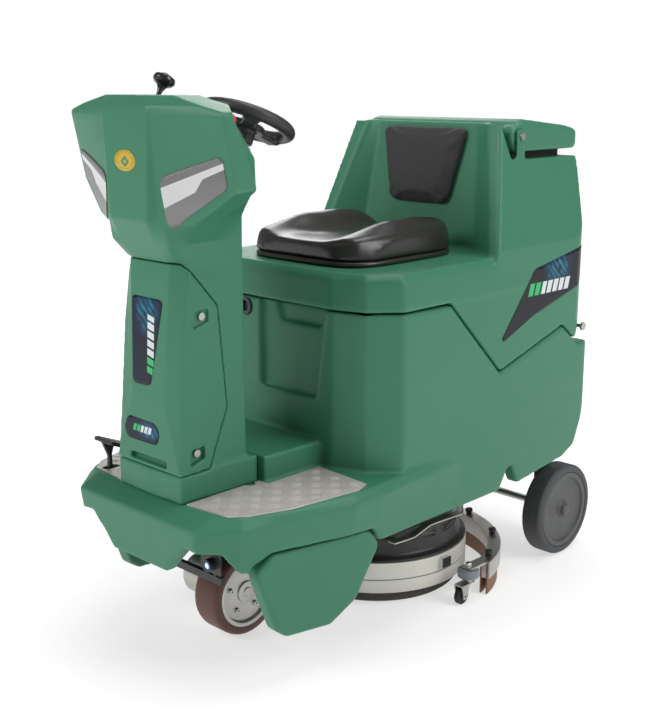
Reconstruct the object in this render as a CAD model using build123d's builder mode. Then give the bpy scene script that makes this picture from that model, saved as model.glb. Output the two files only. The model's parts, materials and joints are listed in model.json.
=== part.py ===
from build123d import *
from math import atan2, cos, degrees, hypot, radians, sin
import os

# A small ride-on floor scrubber. Millimetres, +Z up, the machine faces -Y and
# the driver's left hand is on the +X side. The origin lies on the floor under
# the middle of the machine.

os.makedirs("parts", exist_ok=True)

# ---- driving dimensions -------------------------------------------------
half_width = 306            # side of the moulded bodies
front_y = -670              # front of the bumper
rear_axle_y = 545
rear_wheel_radius = 125
rear_wheel_width = 60
drive_axle_y = -380
drive_wheel_radius = 104
drive_wheel_width = 78
floor_plate_z = 404         # foot platform
body_underside = 262
tank_front_y = -238
tank_split_z = 770          # joint between the lower body and the seat hood
hood_top_z = 857
backrest_top_z = 1169
tank_rim_z = 1080
joint_gap = 2.5             # gap all round between the two bodies
tilt_y, tilt_z = 582, 634   # rear hinge of the recovery tank
lid_hinge_y, lid_hinge_z = 343, 1136
column_rear_y = -434
wheel_tilt = 24             # steering wheel, from the horizontal
steer_y, steer_z = -327, 1183
steer_radius = 95
deck_y = 105                # axis of the scrubbing brush
deck_radius = 240
squeegee_radius = 300
slide_radius = 296          # sleeves the squeegee rises on
seat_y = 15                 # middle of the seat
skirt_thickness = 38
pedal_x, pedal_y, pedal_z = -201, -585, 387
lever_x = -85
lever_y, lever_z = -534.5, 1177
lever_lean = 29
lever_pin = 3


def save(builder, name):
    builder.part.label = name
    export_step(builder.part, f"parts/{name}.step")


def both_sides(half):
    """A full outline from the points of its right half, front to rear."""
    left = [(-x, y) for x, y in reversed(half) if x > 0]
    return half + left


def side_plane(x):
    """Plane whose local axes are Y and Z, looking along +X."""
    return Plane(origin=(x, 0, 0), x_dir=(0, 1, 0), z_dir=(1, 0, 0))


def front_plane(y):
    """Plane whose local axes are X and Z, with its normal along -Y."""
    return Plane(origin=(0, y, 0), x_dir=(1, 0, 0), z_dir=(0, -1, 0))


def slab(half, z):
    """A closed sketch on a level plane from a half outline."""
    with BuildSketch(Plane.XY.offset(z)) as sketch:
        with BuildLine():
            Polyline(*both_sides(half), close=True)
        make_face()
    return sketch.sketch


def profile(points, half, mode=Mode.ADD):
    """Extrude a Y-Z outline across the machine, `half` to each side."""
    with BuildSketch(side_plane(0)) as outline:
        with BuildLine():
            Polyline(*points, close=True)
        make_face()
    extrude(outline.sketch, amount=half, both=True, mode=mode)


def box_between(low, high, mode=Mode.SUBTRACT):
    size = [b - a for a, b in zip(low, high)]
    middle = [(a + b) / 2 for a, b in zip(low, high)]
    with Locations(tuple(middle)):
        Box(*size, mode=mode)


def turned(points, origin, direction, mode=Mode.ADD):
    """Revolve a (radius, height) outline about an axis through `origin`."""
    axis = Vector(*direction).normalized()
    across = Vector(1, 0, 0) if abs(axis.X) < 0.5 else Vector(0, 1, 0)
    across = (across - axis * across.dot(axis)).normalized()
    with BuildSketch(Plane(origin=origin, x_dir=across, z_dir=across.cross(axis))) as outline:
        with BuildLine():
            Polyline(*points, close=True)
        make_face()
    revolve(outline.sketch, axis=Axis(origin=origin, direction=tuple(axis)), mode=mode)


def deck_point(radius, angle, z):
    return (radius * cos(radians(angle)), deck_y + radius * sin(radians(angle)), z)


def sector(outer, inner, low_angle, high_angle, z, height, mode=Mode.ADD):
    """A flat curved bar round the deck axis."""
    span = high_angle - low_angle
    with BuildSketch(Plane.XY.offset(z)) as bar:
        with BuildLine():
            outer_arc = CenterArc((0, deck_y), outer, low_angle, span)
            inner_arc = CenterArc((0, deck_y), inner, low_angle, span)
            Line(outer_arc @ 0, inner_arc @ 0)
            Line(outer_arc @ 1, inner_arc @ 1)
        make_face()
    extrude(bar.sketch, amount=height, mode=mode)


def rod(start, end, radius, mode=Mode.ADD):
    """A round bar between two points."""
    axis = Vector(*end) - Vector(*start)
    with BuildSketch(Plane(origin=start, z_dir=axis)) as disc:
        Circle(radius)
    extrude(disc.sketch, amount=axis.length, mode=mode)


# ---- lower body: foot platform, solution tank and battery well ----------
with BuildPart() as lower_body:
    loft(
        [
            slab([(0, -660), (188, -660), (247, -603), (262, -541), (300, -330),
                  (306, -250), (306, 75)], body_underside),
            slab([(0, front_y), (200, front_y), (264, -602), (292, -500), (331, -322),
                  (331, -245), (306, 75)], 380),
            slab([(0, -622), (196, -622), (250, -588), (286, -500), (319, -322),
                  (319, -245), (300, 75)], floor_plate_z),
        ],
        ruled=True,
    )
    profile([
        (-238, 300), (-238, 770), (20 - 2, 767), (218, 575 - 3), (490, 648), (545, 606),
        (558, 592), (622, 590), (635, 578), (635, 432), (624, 420), (573, 307),
        (520, 284), (313, body_underside), (-238, body_underside)], half_width)
    # raised block behind the steering column
    with BuildSketch(Plane.XY.offset(floor_plate_z)):
        with BuildLine():
            Polyline(*both_sides([(0, -408), (130, -408), (136, -230), (0, -230)]), close=True)
        make_face()
    extrude(amount=61)
    # tank corners, splayed at the front and rounded at the rear
    for side in (1, -1):
        with BuildSketch(Plane.XY.offset(floor_plate_z)):
            with BuildLine():
                Polyline((side * 165, -240), (side * 246, -208), (side * 306, -146),
                         (side * 330, -146), (side * 330, -240), close=True)
            make_face()
        extrude(amount=400, mode=Mode.SUBTRACT)
    rear_edges = lower_body.edges().filter_by(Axis.Z).filter_by(
        lambda edge: edge.center().Y > 615 and edge.length > 60)
    fillet(rear_edges, radius=42)
    # side windows, front corner notches and the room above the side skirts
    for side in (1, -1):
        with BuildSketch(front_plane(-700)):
            with BuildLine():
                Polyline((side * 92, 240), (side * 92, 262), (side * 160, 336),
                         (side * 232, 328), (side * 256, 274), (side * 256, 240), close=True)
            make_face()
        extrude(amount=-140, mode=Mode.SUBTRACT)
        with BuildSketch(side_plane(side * 226)):
            with BuildLine():
                Polyline((-568, 250), (-568, 290), (-523, 315), (-250, 302), (-216, 258),
                         (-216, 250), close=True)
            make_face()
        extrude(amount=side * 130, mode=Mode.SUBTRACT)
        with BuildSketch(side_plane(side * 240)):
            with BuildLine():
                Polyline((224, 250), (268, 314), (283, 317), (313, 258), (313, 250), close=True)
            make_face()
        extrude(amount=side * 80, mode=Mode.SUBTRACT)
    # underside wells for the drive unit, the scrubbing deck and the rear frame
    with BuildSketch(Plane.XY.offset(200)) as nose_well:
        with BuildLine():
            Polyline(*both_sides([(0, -632), (168, -632), (226, -576), (236, -540),
                                  (236, -300), (0, -300)]), close=True)
        make_face()
    extrude(nose_well.sketch, amount=172, mode=Mode.SUBTRACT)
    box_between((-262, -300, 200), (262, -190, 334))
    box_between((-272, -190, 200), (272, 560, 306))
    # battery well, open at the top, and the solution space behind it
    box_between((-245, -205, 345), (245, 95, 800))
    box_between((-270, 130, 350), (270, 590, 545))
    with Locations((0, 218, 560)):
        Cylinder(55, 90, mode=Mode.SUBTRACT)
    # knee recess and the hand hold for lifting the seat hood
    with BuildSketch(front_plane(-238.001)) as knee:
        with BuildLine():
            Polyline((-66, 752), (-64, 560), (118, 560), (150, 765), (150, 775), (-66, 775),
                     close=True)
        make_face()
        fillet(knee.vertices().group_by(Axis.Y)[0], 12)
    extrude(amount=-16, mode=Mode.SUBTRACT)
    with BuildSketch(front_plane(-238.001)) as hand_hold:
        with BuildLine():
            Polyline((-28, 780), (-9, 724), (121, 724), (138, 780), close=True)
        make_face()
        fillet(hand_hold.vertices().group_by(Axis.Y)[0], 8)
    extrude(amount=-27, mode=Mode.SUBTRACT)
    rod((-114, -240, 748), (-114, -218, 748), 18, mode=Mode.SUBTRACT)
    # pocket for the pedal arm, steering shaft hole and lift rod hole
    box_between((-216, -604, 370), (-186, -556, 410))
    rod((-224, pedal_y, pedal_z), (-178, pedal_y, pedal_z), 3.05, mode=Mode.SUBTRACT)
    with Locations((0, drive_axle_y, 390)):
        Cylinder(34, 60, mode=Mode.SUBTRACT)
    with Locations((0, -500, 390)):
        Cylinder(30, 60, mode=Mode.SUBTRACT)
    # hinge ears for the recovery tank
    for x in (-220, 220):
        with BuildSketch(side_plane(x - 14)):
            with Locations((tilt_y, tilt_z)):
                Circle(17)
            with Locations((tilt_y, tilt_z - 26)):
                Rectangle(34, 52)
        extrude(amount=28)
    rod((-300, tilt_y, tilt_z), (300, tilt_y, tilt_z), 5.05, mode=Mode.SUBTRACT)
save(lower_body, "lower_body")

# ---- side skirts, thick mouldings under the platform --------------------
skirt_turn = degrees(atan2(306 - 270, -230 + 572))


def make_skirt(side):
    turn = radians(skirt_turn) * side
    with BuildPart() as skirt:
        plane = Plane(origin=(side * 271, -572, 0), x_dir=(sin(turn), cos(turn), 0),
                      z_dir=(cos(turn), -sin(turn), 0))
        with BuildSketch(plane) as outline:
            with BuildLine():
                Polyline((10, 262), (14, 285), (50, 310), (322, 297), (352, 256), (282, 142),
                         (208, 103), (86, 113), (58, 134), close=True)
            make_face()
            fillet(outline.vertices().group_by(Axis.Z)[0], 24)
        extrude(amount=-side * skirt_thickness)
        outer = skirt.faces().sort_by(Axis.X)[-1 if side > 0 else 0]
        chamfer(outer.edges(), 5)
    return skirt


for label, side in (("side_skirt_left", 1), ("side_skirt_right", -1)):
    save(make_skirt(side), label)

# ---- steel frame --------------------------------------------------------
rail_x = 150
axle_plate_x = 224
with BuildPart() as chassis_frame:
    for x in (-rail_x, rail_x):
        box_between((x - 20, -250, 280), (x + 20, 556, 306), mode=Mode.ADD)
        box_between((x - 20, -330, 306), (x + 20, -210, 334), mode=Mode.ADD)
    for y in (-240, 330, 536):
        box_between((-rail_x, y - 20, 280), (rail_x, y + 20, 306), mode=Mode.ADD)
    box_between((-axle_plate_x, 516, 280), (axle_plate_x, 556, 306), mode=Mode.ADD)
    # front plate and tube that carry the steering head
    box_between((-rail_x, -470, 322), (rail_x, -220, 334), mode=Mode.ADD)
    with Locations((0, drive_axle_y, 300)):
        Cylinder(38, 46)
        Cylinder(22.05, 120, mode=Mode.SUBTRACT)
    # rear axle brackets
    for x in (-axle_plate_x, axle_plate_x):
        with BuildSketch(side_plane(x - 5)):
            with BuildLine():
                Polyline((rear_axle_y - 29, 282), (rear_axle_y + 11, 282),
                         (rear_axle_y + 26, 104), (rear_axle_y - 26, 104), close=True)
            make_face()
        extrude(amount=10)
    rod((-240, rear_axle_y, rear_wheel_radius), (240, rear_axle_y, rear_wheel_radius), 10,
        mode=Mode.SUBTRACT)
    # guide pins for the deck
    for x in (-rail_x, rail_x):
        rod((x, deck_y, 194), (x, deck_y, 282), 8)
    # curved track that the squeegee carrier swings along
    sector(322, 276, 50, 130, 264, 7)
    sector(304.6, 295.4, 56, 124, 260, 15, mode=Mode.SUBTRACT)
    for x in (-rail_x, rail_x):
        box_between((x - 8, 330, 270), (x + 8, 352, 282), mode=Mode.ADD)
save(chassis_frame, "chassis_frame")

# ---- aluminium tread plates ---------------------------------------------
plate_half = [(113, -616), (228, -603), (254, -572), (288, -480), (313, -300), (300, -262),
              (142, -250), (142, -411), (113, -411)]


def make_tread_plate(side):
    with BuildPart() as plate:
        with BuildSketch(Plane.XY.offset(floor_plate_z)):
            with BuildLine():
                Polyline(*[(side * x, y) for x, y in plate_half], close=True)
            make_face()
            with Locations((side * 113, -440)):
                Circle(14, mode=Mode.SUBTRACT)
            if side < 0:
                with Locations((pedal_x, -582)):
                    SlotOverall(44, 24, rotation=90, mode=Mode.SUBTRACT)
        extrude(amount=3)
    return plate


for label, side in (("tread_plate_left", 1), ("tread_plate_right", -1)):
    save(make_tread_plate(side), label)

# ---- steering column, head and front cover ------------------------------
cover_outline = [(-660, 466), (-545, 466), (-488, 590), (-508, 812), (-590, 908),
                 (-600, 906), (-660, 906)]
column_sections = [
    (466, [(0, -627), (109, -627), (110, -622), (102, -434), (0, -434)]),
    (613, [(0, -621), (55, -621), (101, -614), (100, -434), (0, -434)]),
    (768, [(0, -612), (59, -612), (100, -600), (100, -434), (0, -434)]),
    (870, [(0, -606), (64, -606), (100, -584), (100, -434), (0, -434)]),
    (906, [(0, -603), (66, -603), (96, -578), (100, -434), (0, -434)]),
]
head_sections = [
    (906, [(0, -603), (58, -603), (90, -590), (100, -560), (100, -500), (100, -460),
           (100, -434), (0, -434)]),
    (948, [(0, -628), (59, -628), (94, -628), (102, -606), (102, -500), (101, -460),
           (100, -434), (0, -434)]),
    (995, [(0, -654), (61, -654), (80, -640), (158, -608), (146, -528), (116, -470),
           (100, -434), (0, -434)]),
    (1060, [(0, -654), (65, -654), (79, -641), (250, -580), (236, -516), (160, -448),
            (150, -440), (0, -440)]),
    (1204, [(0, -654), (73, -654), (75, -652), (250, -610), (247, -584), (168, -524),
            (150, -440), (0, -440)]),
    (1222, [(0, -653), (73, -653), (75, -651), (246, -606), (242, -582), (166, -524),
            (150, -440), (0, -440)]),
    (1241, [(0, -628), (68, -628), (70, -627), (222, -590), (220, -578), (150, -524),
            (140, -440), (0, -440)]),
]


def add_sections(sections):
    for (low_z, low), (high_z, high) in zip(sections, sections[1:]):
        loft([slab(low, low_z), slab(high, high_z)], ruled=True)


with BuildPart() as column_solid:
    add_sections(column_sections)

with BuildPart() as front_cover:
    add(column_solid.part)
    profile(cover_outline, 150, mode=Mode.INTERSECT)
    # hollow behind, open to the column
    profile([(-596, 470), (-480, 470), (-480, 870), (-584, 870)], 80, mode=Mode.SUBTRACT)
    # grip slot at the foot and four bolt recesses
    box_between((-62, -632, 474), (62, -612, 488))
    for z, y in ((795, -549), (504, -571)):
        for side in (1, -1):
            rod((side * 80, y, z), (side * 120, y, z), 3.3, mode=Mode.SUBTRACT)
            with BuildSketch(side_plane(side * 92)):
                with BuildLine():
                    Polyline((y + 16, z + 14), (y + 16, z - 12), (y - 26, z - 24),
                             (y - 20, z + 12), close=True)
                make_face()
            extrude(amount=side * 18, mode=Mode.SUBTRACT)
save(front_cover, "front_cover")

with BuildPart() as cover_bolts:
    for z, y in ((795, -549), (504, -571)):
        for side in (1, -1):
            rod((side * 92, y, z), (side * 98, y, z), 8)
            rod((side * 82, y, z), (side * 92, y, z), 3)
save(cover_bolts, "cover_bolts")

dash_slope = [(-548, 1232), (-438, 1112)]
dash_normal = (0, 120, 110)
light_outline = [(0, -6), (12, 8), (139, 48), (150, 43), (154, -8), (147, -17), (29, -93),
                 (14, -90)]


def dash_z(y):
    (y0, z0), (y1, z1) = dash_slope
    return z0 + (y - y0) * (z1 - z0) / (y1 - y0)


def light_prism(side, grow, mode):
    """The lamp window of one side of the head as a block through its face."""
    start = Vector(side * 88, -640.5, 1080)
    along = Vector(side * 171, 65, 0).normalized()
    up = Vector(0, -0.17, 1)
    up = (up - along * up.dot(along)).normalized()
    outward = along.cross(up) * -side
    outward = outward if outward.Y < 0 else outward * -1
    plane = Plane(origin=start - outward * 7, x_dir=along, z_dir=outward)
    flip = 1 if plane.y_dir.Z > 0 else -1
    with BuildSketch(plane) as outline:
        with BuildLine():
            Polyline(*[(x, y * flip) for x, y in light_outline], close=True)
        make_face()
        fillet(outline.vertices(), 5)
        if grow:
            offset(amount=grow)
    extrude(outline.sketch, amount=50, mode=mode)


with BuildPart() as column_shell:
    add(column_solid.part)
    add_sections(head_sections)
    # the crown falls away to both sides
    for side in (1, -1):
        with BuildSketch(front_plane(-700)):
            with BuildLine():
                Polyline((side * 110, 1250), (side * 110, 1241.5), (side * 262, 1207),
                         (side * 300, 1207), (side * 300, 1250), close=True)
            make_face()
        extrude(amount=-320, mode=Mode.SUBTRACT)
    # sloping dash towards the driver
    profile([dash_slope[0], (-540, 1300), (-380, 1300), (-380, dash_z(-380))], 320,
            mode=Mode.SUBTRACT)
    # pod round the steering shaft
    profile([(-450, 965), (-434, 965), (-365, 1025), (-348.4, 1061.2), (-403.2, 1085.6),
             (-450, 1096)], 34)
    # plinth with its rear foot
    with BuildSketch(Plane.XY.offset(floor_plate_z)):
        with BuildLine():
            Polyline(*both_sides([(0, -629), (108, -625), (111, -411), (0, -411)]), close=True)
        make_face()
    extrude(amount=62)
    profile([(-450, 466), (-434, 474), (-428, 452), (-411, 436), (-411, 466 - 62),
             (-450, 404)], 104)
    profile([(-410, 466.5), (-410, 425), (-405, 425), (-405, 470)], 130, mode=Mode.SUBTRACT)
    # seat for the front cover, with a hairline gap
    profile([(-700, 464.5), (-543.5, 464.5), (-486.3, 590), (-506.5, 813.5), (-589, 909.5),
             (-603.5, 907.5), (-700, 907.5)], 150, mode=Mode.SUBTRACT)
    # hollow for the steering shaft and the wiring, open at the foot
    profile([(-580, 400), (-460, 400), (-460, 1040), (-480, 1080), (-560, 1080),
             (-580, 960)], 76, mode=Mode.SUBTRACT)
    box_between((-150, -585, 1085), (150, -525, 1165))
    box_between((-70, -560, 1070), (70, -525, 1090))
    shaft_dir = (0, sin(radians(wheel_tilt)), cos(radians(wheel_tilt)))
    foot = [0, steer_y - 330 * shaft_dir[1], steer_z - 330 * shaft_dir[2]]
    rod(foot, (0, steer_y, steer_z), 12.55, mode=Mode.SUBTRACT)
    # lever slot with the bore of its pin, and the button wells
    box_between((lever_x - 8, -562, 1130), (lever_x + 8, -476, 1260))
    rod((lever_x - 20, lever_y, lever_z), (lever_x + 20, lever_y, lever_z), 3.05,
        mode=Mode.SUBTRACT)
    for x, radius in ((60, 7.5), (92, 7.5), (130, 9.5)):
        well = Plane(origin=(0, -506, dash_z(-506)), x_dir=(1, 0, 0), z_dir=dash_normal)
        with BuildSketch(well.offset(-8)) as well_outline:
            with Locations((x, 0)):
                Circle(radius)
        extrude(well_outline.sketch, amount=12, mode=Mode.SUBTRACT)
    for side in (1, -1):
        light_prism(side, 0.3, Mode.SUBTRACT)
save(column_shell, "column_shell")

# grey lamp windows, flush with the two side faces of the head
with BuildPart() as head_solid:
    add_sections(head_sections)

with BuildPart() as headlight_inlays:
    for side in (1, -1):
        light_prism(side, 0, Mode.ADD)
    add(head_solid.part, mode=Mode.INTERSECT)
save(headlight_inlays, "headlight_inlays")

# ---- dash panel and its controls ----------------------------------------
slope = Vector(0, dash_slope[1][0] - dash_slope[0][0], dash_slope[1][1] - dash_slope[0][1])
dash_plane = Plane(origin=(0, -506, dash_z(-506)), x_dir=(1, 0, 0), z_dir=(0, -slope.Z, slope.Y))
control_x = {"mode_button": 60, "water_button": 92, "stop_button": 130, "ignition_key": -130}
lever_slot_y = (-520 + 506) / dash_plane.y_dir.Y
with BuildPart() as dash_panel:
    with BuildSketch(dash_plane) as panel_outline:
        with BuildLine():
            Polyline((-156, -46), (156, -46), (156, 40), (70, 40), (62, 28), (-62, 28),
                     (-70, 40), (-156, 40), close=True)
        make_face()
        fillet(panel_outline.vertices(), 5)
        with Locations((lever_x, lever_slot_y)):
            SlotOverall(58, 30, rotation=90, mode=Mode.SUBTRACT)
        for name, x in control_x.items():
            with Locations((x, 0)):
                Circle({"stop_button": 9.05, "ignition_key": 4.05}.get(name, 7.05),
                       mode=Mode.SUBTRACT)
    extrude(amount=5)
    with BuildSketch(dash_plane.offset(5)):
        with Locations((0, -8)):
            RectangleRounded(76, 46, 4)
    extrude(amount=2)
save(dash_panel, "dash_panel")


def make_button(x, radius, stem_radius, cap_height):
    """A pressed cap on a stem; it stands 5 mm proud of the panel."""
    with BuildPart() as button:
        with BuildSketch(dash_plane.offset(0.5)):
            with Locations((x, 0)):
                Circle(stem_radius)
        extrude(amount=9.5)
        with BuildSketch(dash_plane.offset(10)):
            with Locations((x, 0)):
                Circle(radius)
        extrude(amount=cap_height)
        outward = Axis(origin=(0, 0, 0), direction=tuple(dash_plane.z_dir))
        fillet(button.faces().sort_by(outward)[-1].edges(), cap_height * 0.4)
    return button


save(make_button(control_x["mode_button"], 9, 7, 4), "mode_button")
save(make_button(control_x["water_button"], 9, 7, 4), "water_button")
save(make_button(control_x["stop_button"], 18, 9, 12), "stop_button")

with BuildPart() as ignition_key:
    with BuildSketch(dash_plane.offset(0.5)):
        with Locations((control_x["ignition_key"], 0)):
            Circle(4)
    extrude(amount=11)
    with BuildSketch(dash_plane.offset(11.5)):
        with Locations((control_x["ignition_key"], 0)):
            SlotOverall(26, 9, rotation=90)
    extrude(amount=14)
save(ignition_key, "ignition_key")

# ---- direction lever ----------------------------------------------------
with BuildPart() as lever_boot:
    with BuildSketch(dash_plane):
        with Locations((lever_x, lever_slot_y)):
            SlotOverall(58, 30, rotation=90)
            SlotOverall(50, 15, rotation=90, mode=Mode.SUBTRACT)
    extrude(amount=8)
save(lever_boot, "lever_boot")

lever_direction = (0, sin(radians(lever_lean)), cos(radians(lever_lean)))
lever_outline = [(0, -8), (5, -8), (5, 74), (7, 84), (11, 92), (20, 97), (24.5, 104), (23, 112),
                 (15, 118), (0, 121)]
with BuildPart() as direction_lever:
    turned(lever_outline, (lever_x, lever_y, lever_z), lever_direction)
    rod((lever_x - 16, lever_y, lever_z), (lever_x + 16, lever_y, lever_z), lever_pin)
save(direction_lever, "direction_lever")

# ---- steering wheel and shaft -------------------------------------------
wheel_plane = Plane(origin=(0, steer_y, steer_z), x_dir=(1, 0, 0), z_dir=shaft_dir)
with BuildPart() as steering_wheel:
    with Locations(wheel_plane):
        Torus(steer_radius, 14.5)
    with BuildSketch(wheel_plane.offset(-20)) as spokes:
        Circle(44)
        for angle in (90, 215, 325):
            with Locations(Location((48 * cos(radians(angle)), 48 * sin(radians(angle)), 0),
                                    (0, 0, angle))):
                Rectangle(92, 34)
    extrude(amount=14)
    with BuildSketch(wheel_plane.offset(-50)):
        Circle(26)
    extrude(amount=32)
    with BuildSketch(wheel_plane.offset(-60)):
        Circle(12.5)
    extrude(amount=30, mode=Mode.SUBTRACT)
save(steering_wheel, "steering_wheel")

with BuildPart() as steering_shaft:
    with BuildSketch(wheel_plane.offset(-300)):
        Circle(12.5)
    extrude(amount=270)
    with BuildSketch(wheel_plane.offset(-118)):
        Circle(25)
    extrude(amount=61)
save(steering_shaft, "steering_shaft")

# ---- accelerator pedal --------------------------------------------------
pedal_plane = Plane(origin=(-166, -592, 478), x_dir=(1, 0, 0), z_dir=(0, 0.42, 1))
with BuildPart() as accelerator_pedal:
    with BuildSketch(pedal_plane):
        RectangleRounded(70, 72, 8)
    extrude(amount=-9)
    with BuildSketch(pedal_plane):
        with GridLocations(70, 14, 1, 5):
            Rectangle(60, 5)
    extrude(amount=2)
    with BuildSketch(side_plane(pedal_x - 5)):
        with BuildLine():
            Polyline((pedal_y - 5, pedal_z - 7), (pedal_y + 5, pedal_z - 7), (pedal_y + 5, 440),
                     (pedal_y + 12, 462), (pedal_y - 22, 476), (pedal_y - 5, 436), close=True)
        make_face()
    extrude(amount=10)
    rod((-222, pedal_y, pedal_z), (-180, pedal_y, pedal_z), 3)
save(accelerator_pedal, "accelerator_pedal")

# ---- front drive unit ---------------------------------------------------
drive_centre = (0, drive_axle_y, drive_wheel_radius)
half_tyre = drive_wheel_width / 2
with BuildPart() as drive_fork:
    box_between((-76, -500, 232), (60, -300, 244), mode=Mode.ADD)
    box_between((-62, -440, 52), (-50, -320, 236), mode=Mode.ADD)
    for x in (-75.5, 59.5):
        box_between((x - 4, -500, 172), (x + 4, -488, 244), mode=Mode.ADD)
    box_between((-79.5, -500, 172), (80, -488, 190), mode=Mode.ADD)
    rod((0, drive_axle_y, 240), (0, drive_axle_y, 340), 22)
    rod((-80, drive_axle_y, drive_wheel_radius), (-40, drive_axle_y, drive_wheel_radius), 12.05,
        mode=Mode.SUBTRACT)
save(drive_fork, "drive_fork")

with BuildPart() as drive_motor:
    turned([(12.05, 62), (50, 62), (50, 140), (44, 150), (0, 150), (0, 84), (12.05, 84)],
           drive_centre, (-1, 0, 0))
save(drive_motor, "drive_motor")

with BuildPart() as drive_hub:
    turned([(0, half_tyre - 6), (26, half_tyre - 6), (26, half_tyre - 12), (70, half_tyre - 12),
            (74, half_tyre), (83, half_tyre), (83, -half_tyre), (30, -half_tyre),
            (30, -48), (12, -48), (12, -82), (0, -82)], drive_centre, (1, 0, 0))
save(drive_hub, "drive_hub")

with BuildPart() as drive_tyre:
    turned([(83, half_tyre), (98, half_tyre), (drive_wheel_radius, half_tyre - 6),
            (drive_wheel_radius, 6 - half_tyre), (98, -half_tyre), (83, -half_tyre)],
           drive_centre, (1, 0, 0))
save(drive_tyre, "drive_tyre")

# ---- rear wheels --------------------------------------------------------
with BuildPart() as rear_axle:
    rod((-300, rear_axle_y, rear_wheel_radius), (300, rear_axle_y, rear_wheel_radius), 10)
save(rear_axle, "rear_axle")

rim_outline = [(10.05, 0), (104, 0), (104, 58), (98, 58), (90, 50), (34, 50), (30, 58), (10.05, 58)]
tyre_outline = [(104, 0), (118, 0), (125, 7), (125, 53), (118, 60), (104, 60)]
for label, side in (("left", 1), ("right", -1)):
    hub_centre = (side * 246, rear_axle_y, rear_wheel_radius)
    with BuildPart() as rim:
        turned(rim_outline, hub_centre, (side, 0, 0))
    save(rim, f"rear_rim_{label}")
    with BuildPart() as tyre:
        turned(tyre_outline, hub_centre, (side, 0, 0))
    save(tyre, f"rear_tyre_{label}")

# ---- work lamp under the nose -------------------------------------------
with BuildPart() as lamp_bracket:
    box_between((94, -560, 236), (152, -556, 372), mode=Mode.ADD)
    box_between((94, -560, 366), (152, -530, 372), mode=Mode.ADD)
    rod((123, -576, 258), (123, -558, 258), 14)
    rod((123, -576, 258), (123, -550, 258), 8.4, mode=Mode.SUBTRACT)
save(lamp_bracket, "lamp_bracket")

with BuildPart() as lamp_lens:
    turned([(0, -1), (6, 0), (8.4, 3), (8.4, 16), (0, 16)], (123, -575, 258), (0, 1, 0))
save(lamp_lens, "lamp_lens")

# ---- charge socket and batteries ----------------------------------------
with BuildPart() as charge_socket:
    turned([(0, 0), (18, 0), (18, 18), (21, 18), (21, 22), (13, 22), (13, 12), (0, 12)],
           (-114, -220, 748), (0, -1, 0))
save(charge_socket, "charge_socket")

with BuildPart() as batteries:
    with Locations((0, -54, 345)):
        with GridLocations(244, 148, 2, 2):
            Box(240, 140, 262, align=(Align.CENTER, Align.CENTER, Align.MIN))
            with Locations((-85, 45, 262), (85, 45, 262)):
                Cylinder(9, 14, align=(Align.CENTER, Align.CENTER, Align.MIN))
save(batteries, "batteries")

# ---- recovery tank with the seat hood -----------------------------------
hood_low = [(0, tank_front_y), (165, tank_front_y), (250, -212), (308, -146), (308, 300), (0, 300)]
hood_high = [(0, -232), (162, -232), (244, -208), (302, -148), (304, 300), (0, 300)]
hood_crown = [(0, -218), (156, -218), (234, -196), (289, -142), (292, 300), (0, 300)]
tank_half = [(0, 100), (308, 100), (308, 546), (296, 577), (266, 590), (0, 590)]
with BuildPart() as recovery_tank:
    # tank and backrest, tapering towards the top
    profile([(186, 840), (283, backrest_top_z), (306, backrest_top_z), (318, 1150),
             (322, tank_rim_z), (590, tank_rim_z), (590, 640), (556, 607), (547, 608),
             (490, 652), (219, 576), (150, 690)], 306)
    with BuildSketch(front_plane(0)) as taper:
        with BuildLine():
            Polyline((-306, 500), (306, 500), (306, 875), (238, 1169), (-238, 1169), (-306, 875),
                     close=True)
        make_face()
    extrude(taper.sketch, amount=700, both=True, mode=Mode.INTERSECT)
    with BuildSketch() as plan:
        with BuildLine():
            Polyline(*both_sides(tank_half), close=True)
        make_face()
    extrude(plan.sketch, amount=1300, mode=Mode.INTERSECT)
    # seat hood over the battery well
    loft([slab(hood_low, 773), slab(hood_high, 842)], ruled=True)
    loft([slab(hood_high, 842), slab(hood_crown, hood_top_z)], ruled=True)
    profile([(20, 770.5), (219, 576), (400, 626.8), (400, 800), (20, 800)], half_width)
    # niche for the driver's back
    with BuildSketch(Plane.XY.offset(hood_top_z)) as niche_low:
        with BuildLine():
            Polyline((-288, 150), (288, 150), (288, 185), (187, 255), (-187, 255), (-288, 185),
                     close=True)
        make_face()
    with BuildSketch(Plane.XY.offset(1175)) as niche_high:
        with BuildLine():
            Polyline((-189, 250), (189, 250), (189, 291), (160, 298), (-160, 298), (-189, 291),
                     close=True)
        make_face()
    loft([niche_low.sketch, niche_high.sketch], ruled=True, mode=Mode.SUBTRACT)
    # hollow hood and the tank itself
    with BuildSketch(Plane.XY.offset(500)) as hood_well:
        with BuildLine():
            Polyline(*both_sides([(0, -206), (150, -206), (226, -184), (278, -128),
                                  (278, 285), (0, 285)]), close=True)
        make_face()
    extrude(hood_well.sketch, amount=342, mode=Mode.SUBTRACT)
    box_between((-225, 305, 690), (225, 560, 1060))
    box_between((-200, 368, 1040), (200, 564, 1090))
    # room round the two hinge posts
    for x in (-220, 220):
        box_between((x - 17, 558, 590), (x + 17, 610, 656))
    rod((-330, tilt_y, tilt_z), (330, tilt_y, tilt_z), 5, mode=Mode.SUBTRACT)
    # the shoulders fall away beside the lid
    for side in (1, -1):
        with BuildSketch(side_plane(side * 204)) as shoulder:
            with BuildLine():
                Polyline((283, 1172), (306, 1081), (340, 1081), (340, 1185), (283, 1185),
                         close=True)
            make_face()
        extrude(shoulder.sketch, amount=side * 110, mode=Mode.SUBTRACT)
    # ears that carry the lid
    for x in (-253, 253):
        box_between((x - 4, 326, 1075), (x + 4, 362, 1152), mode=Mode.ADD)
    rod((-300, lid_hinge_y, lid_hinge_z), (300, lid_hinge_y, lid_hinge_z), 4, mode=Mode.SUBTRACT)
save(recovery_tank, "recovery_tank")

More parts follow.
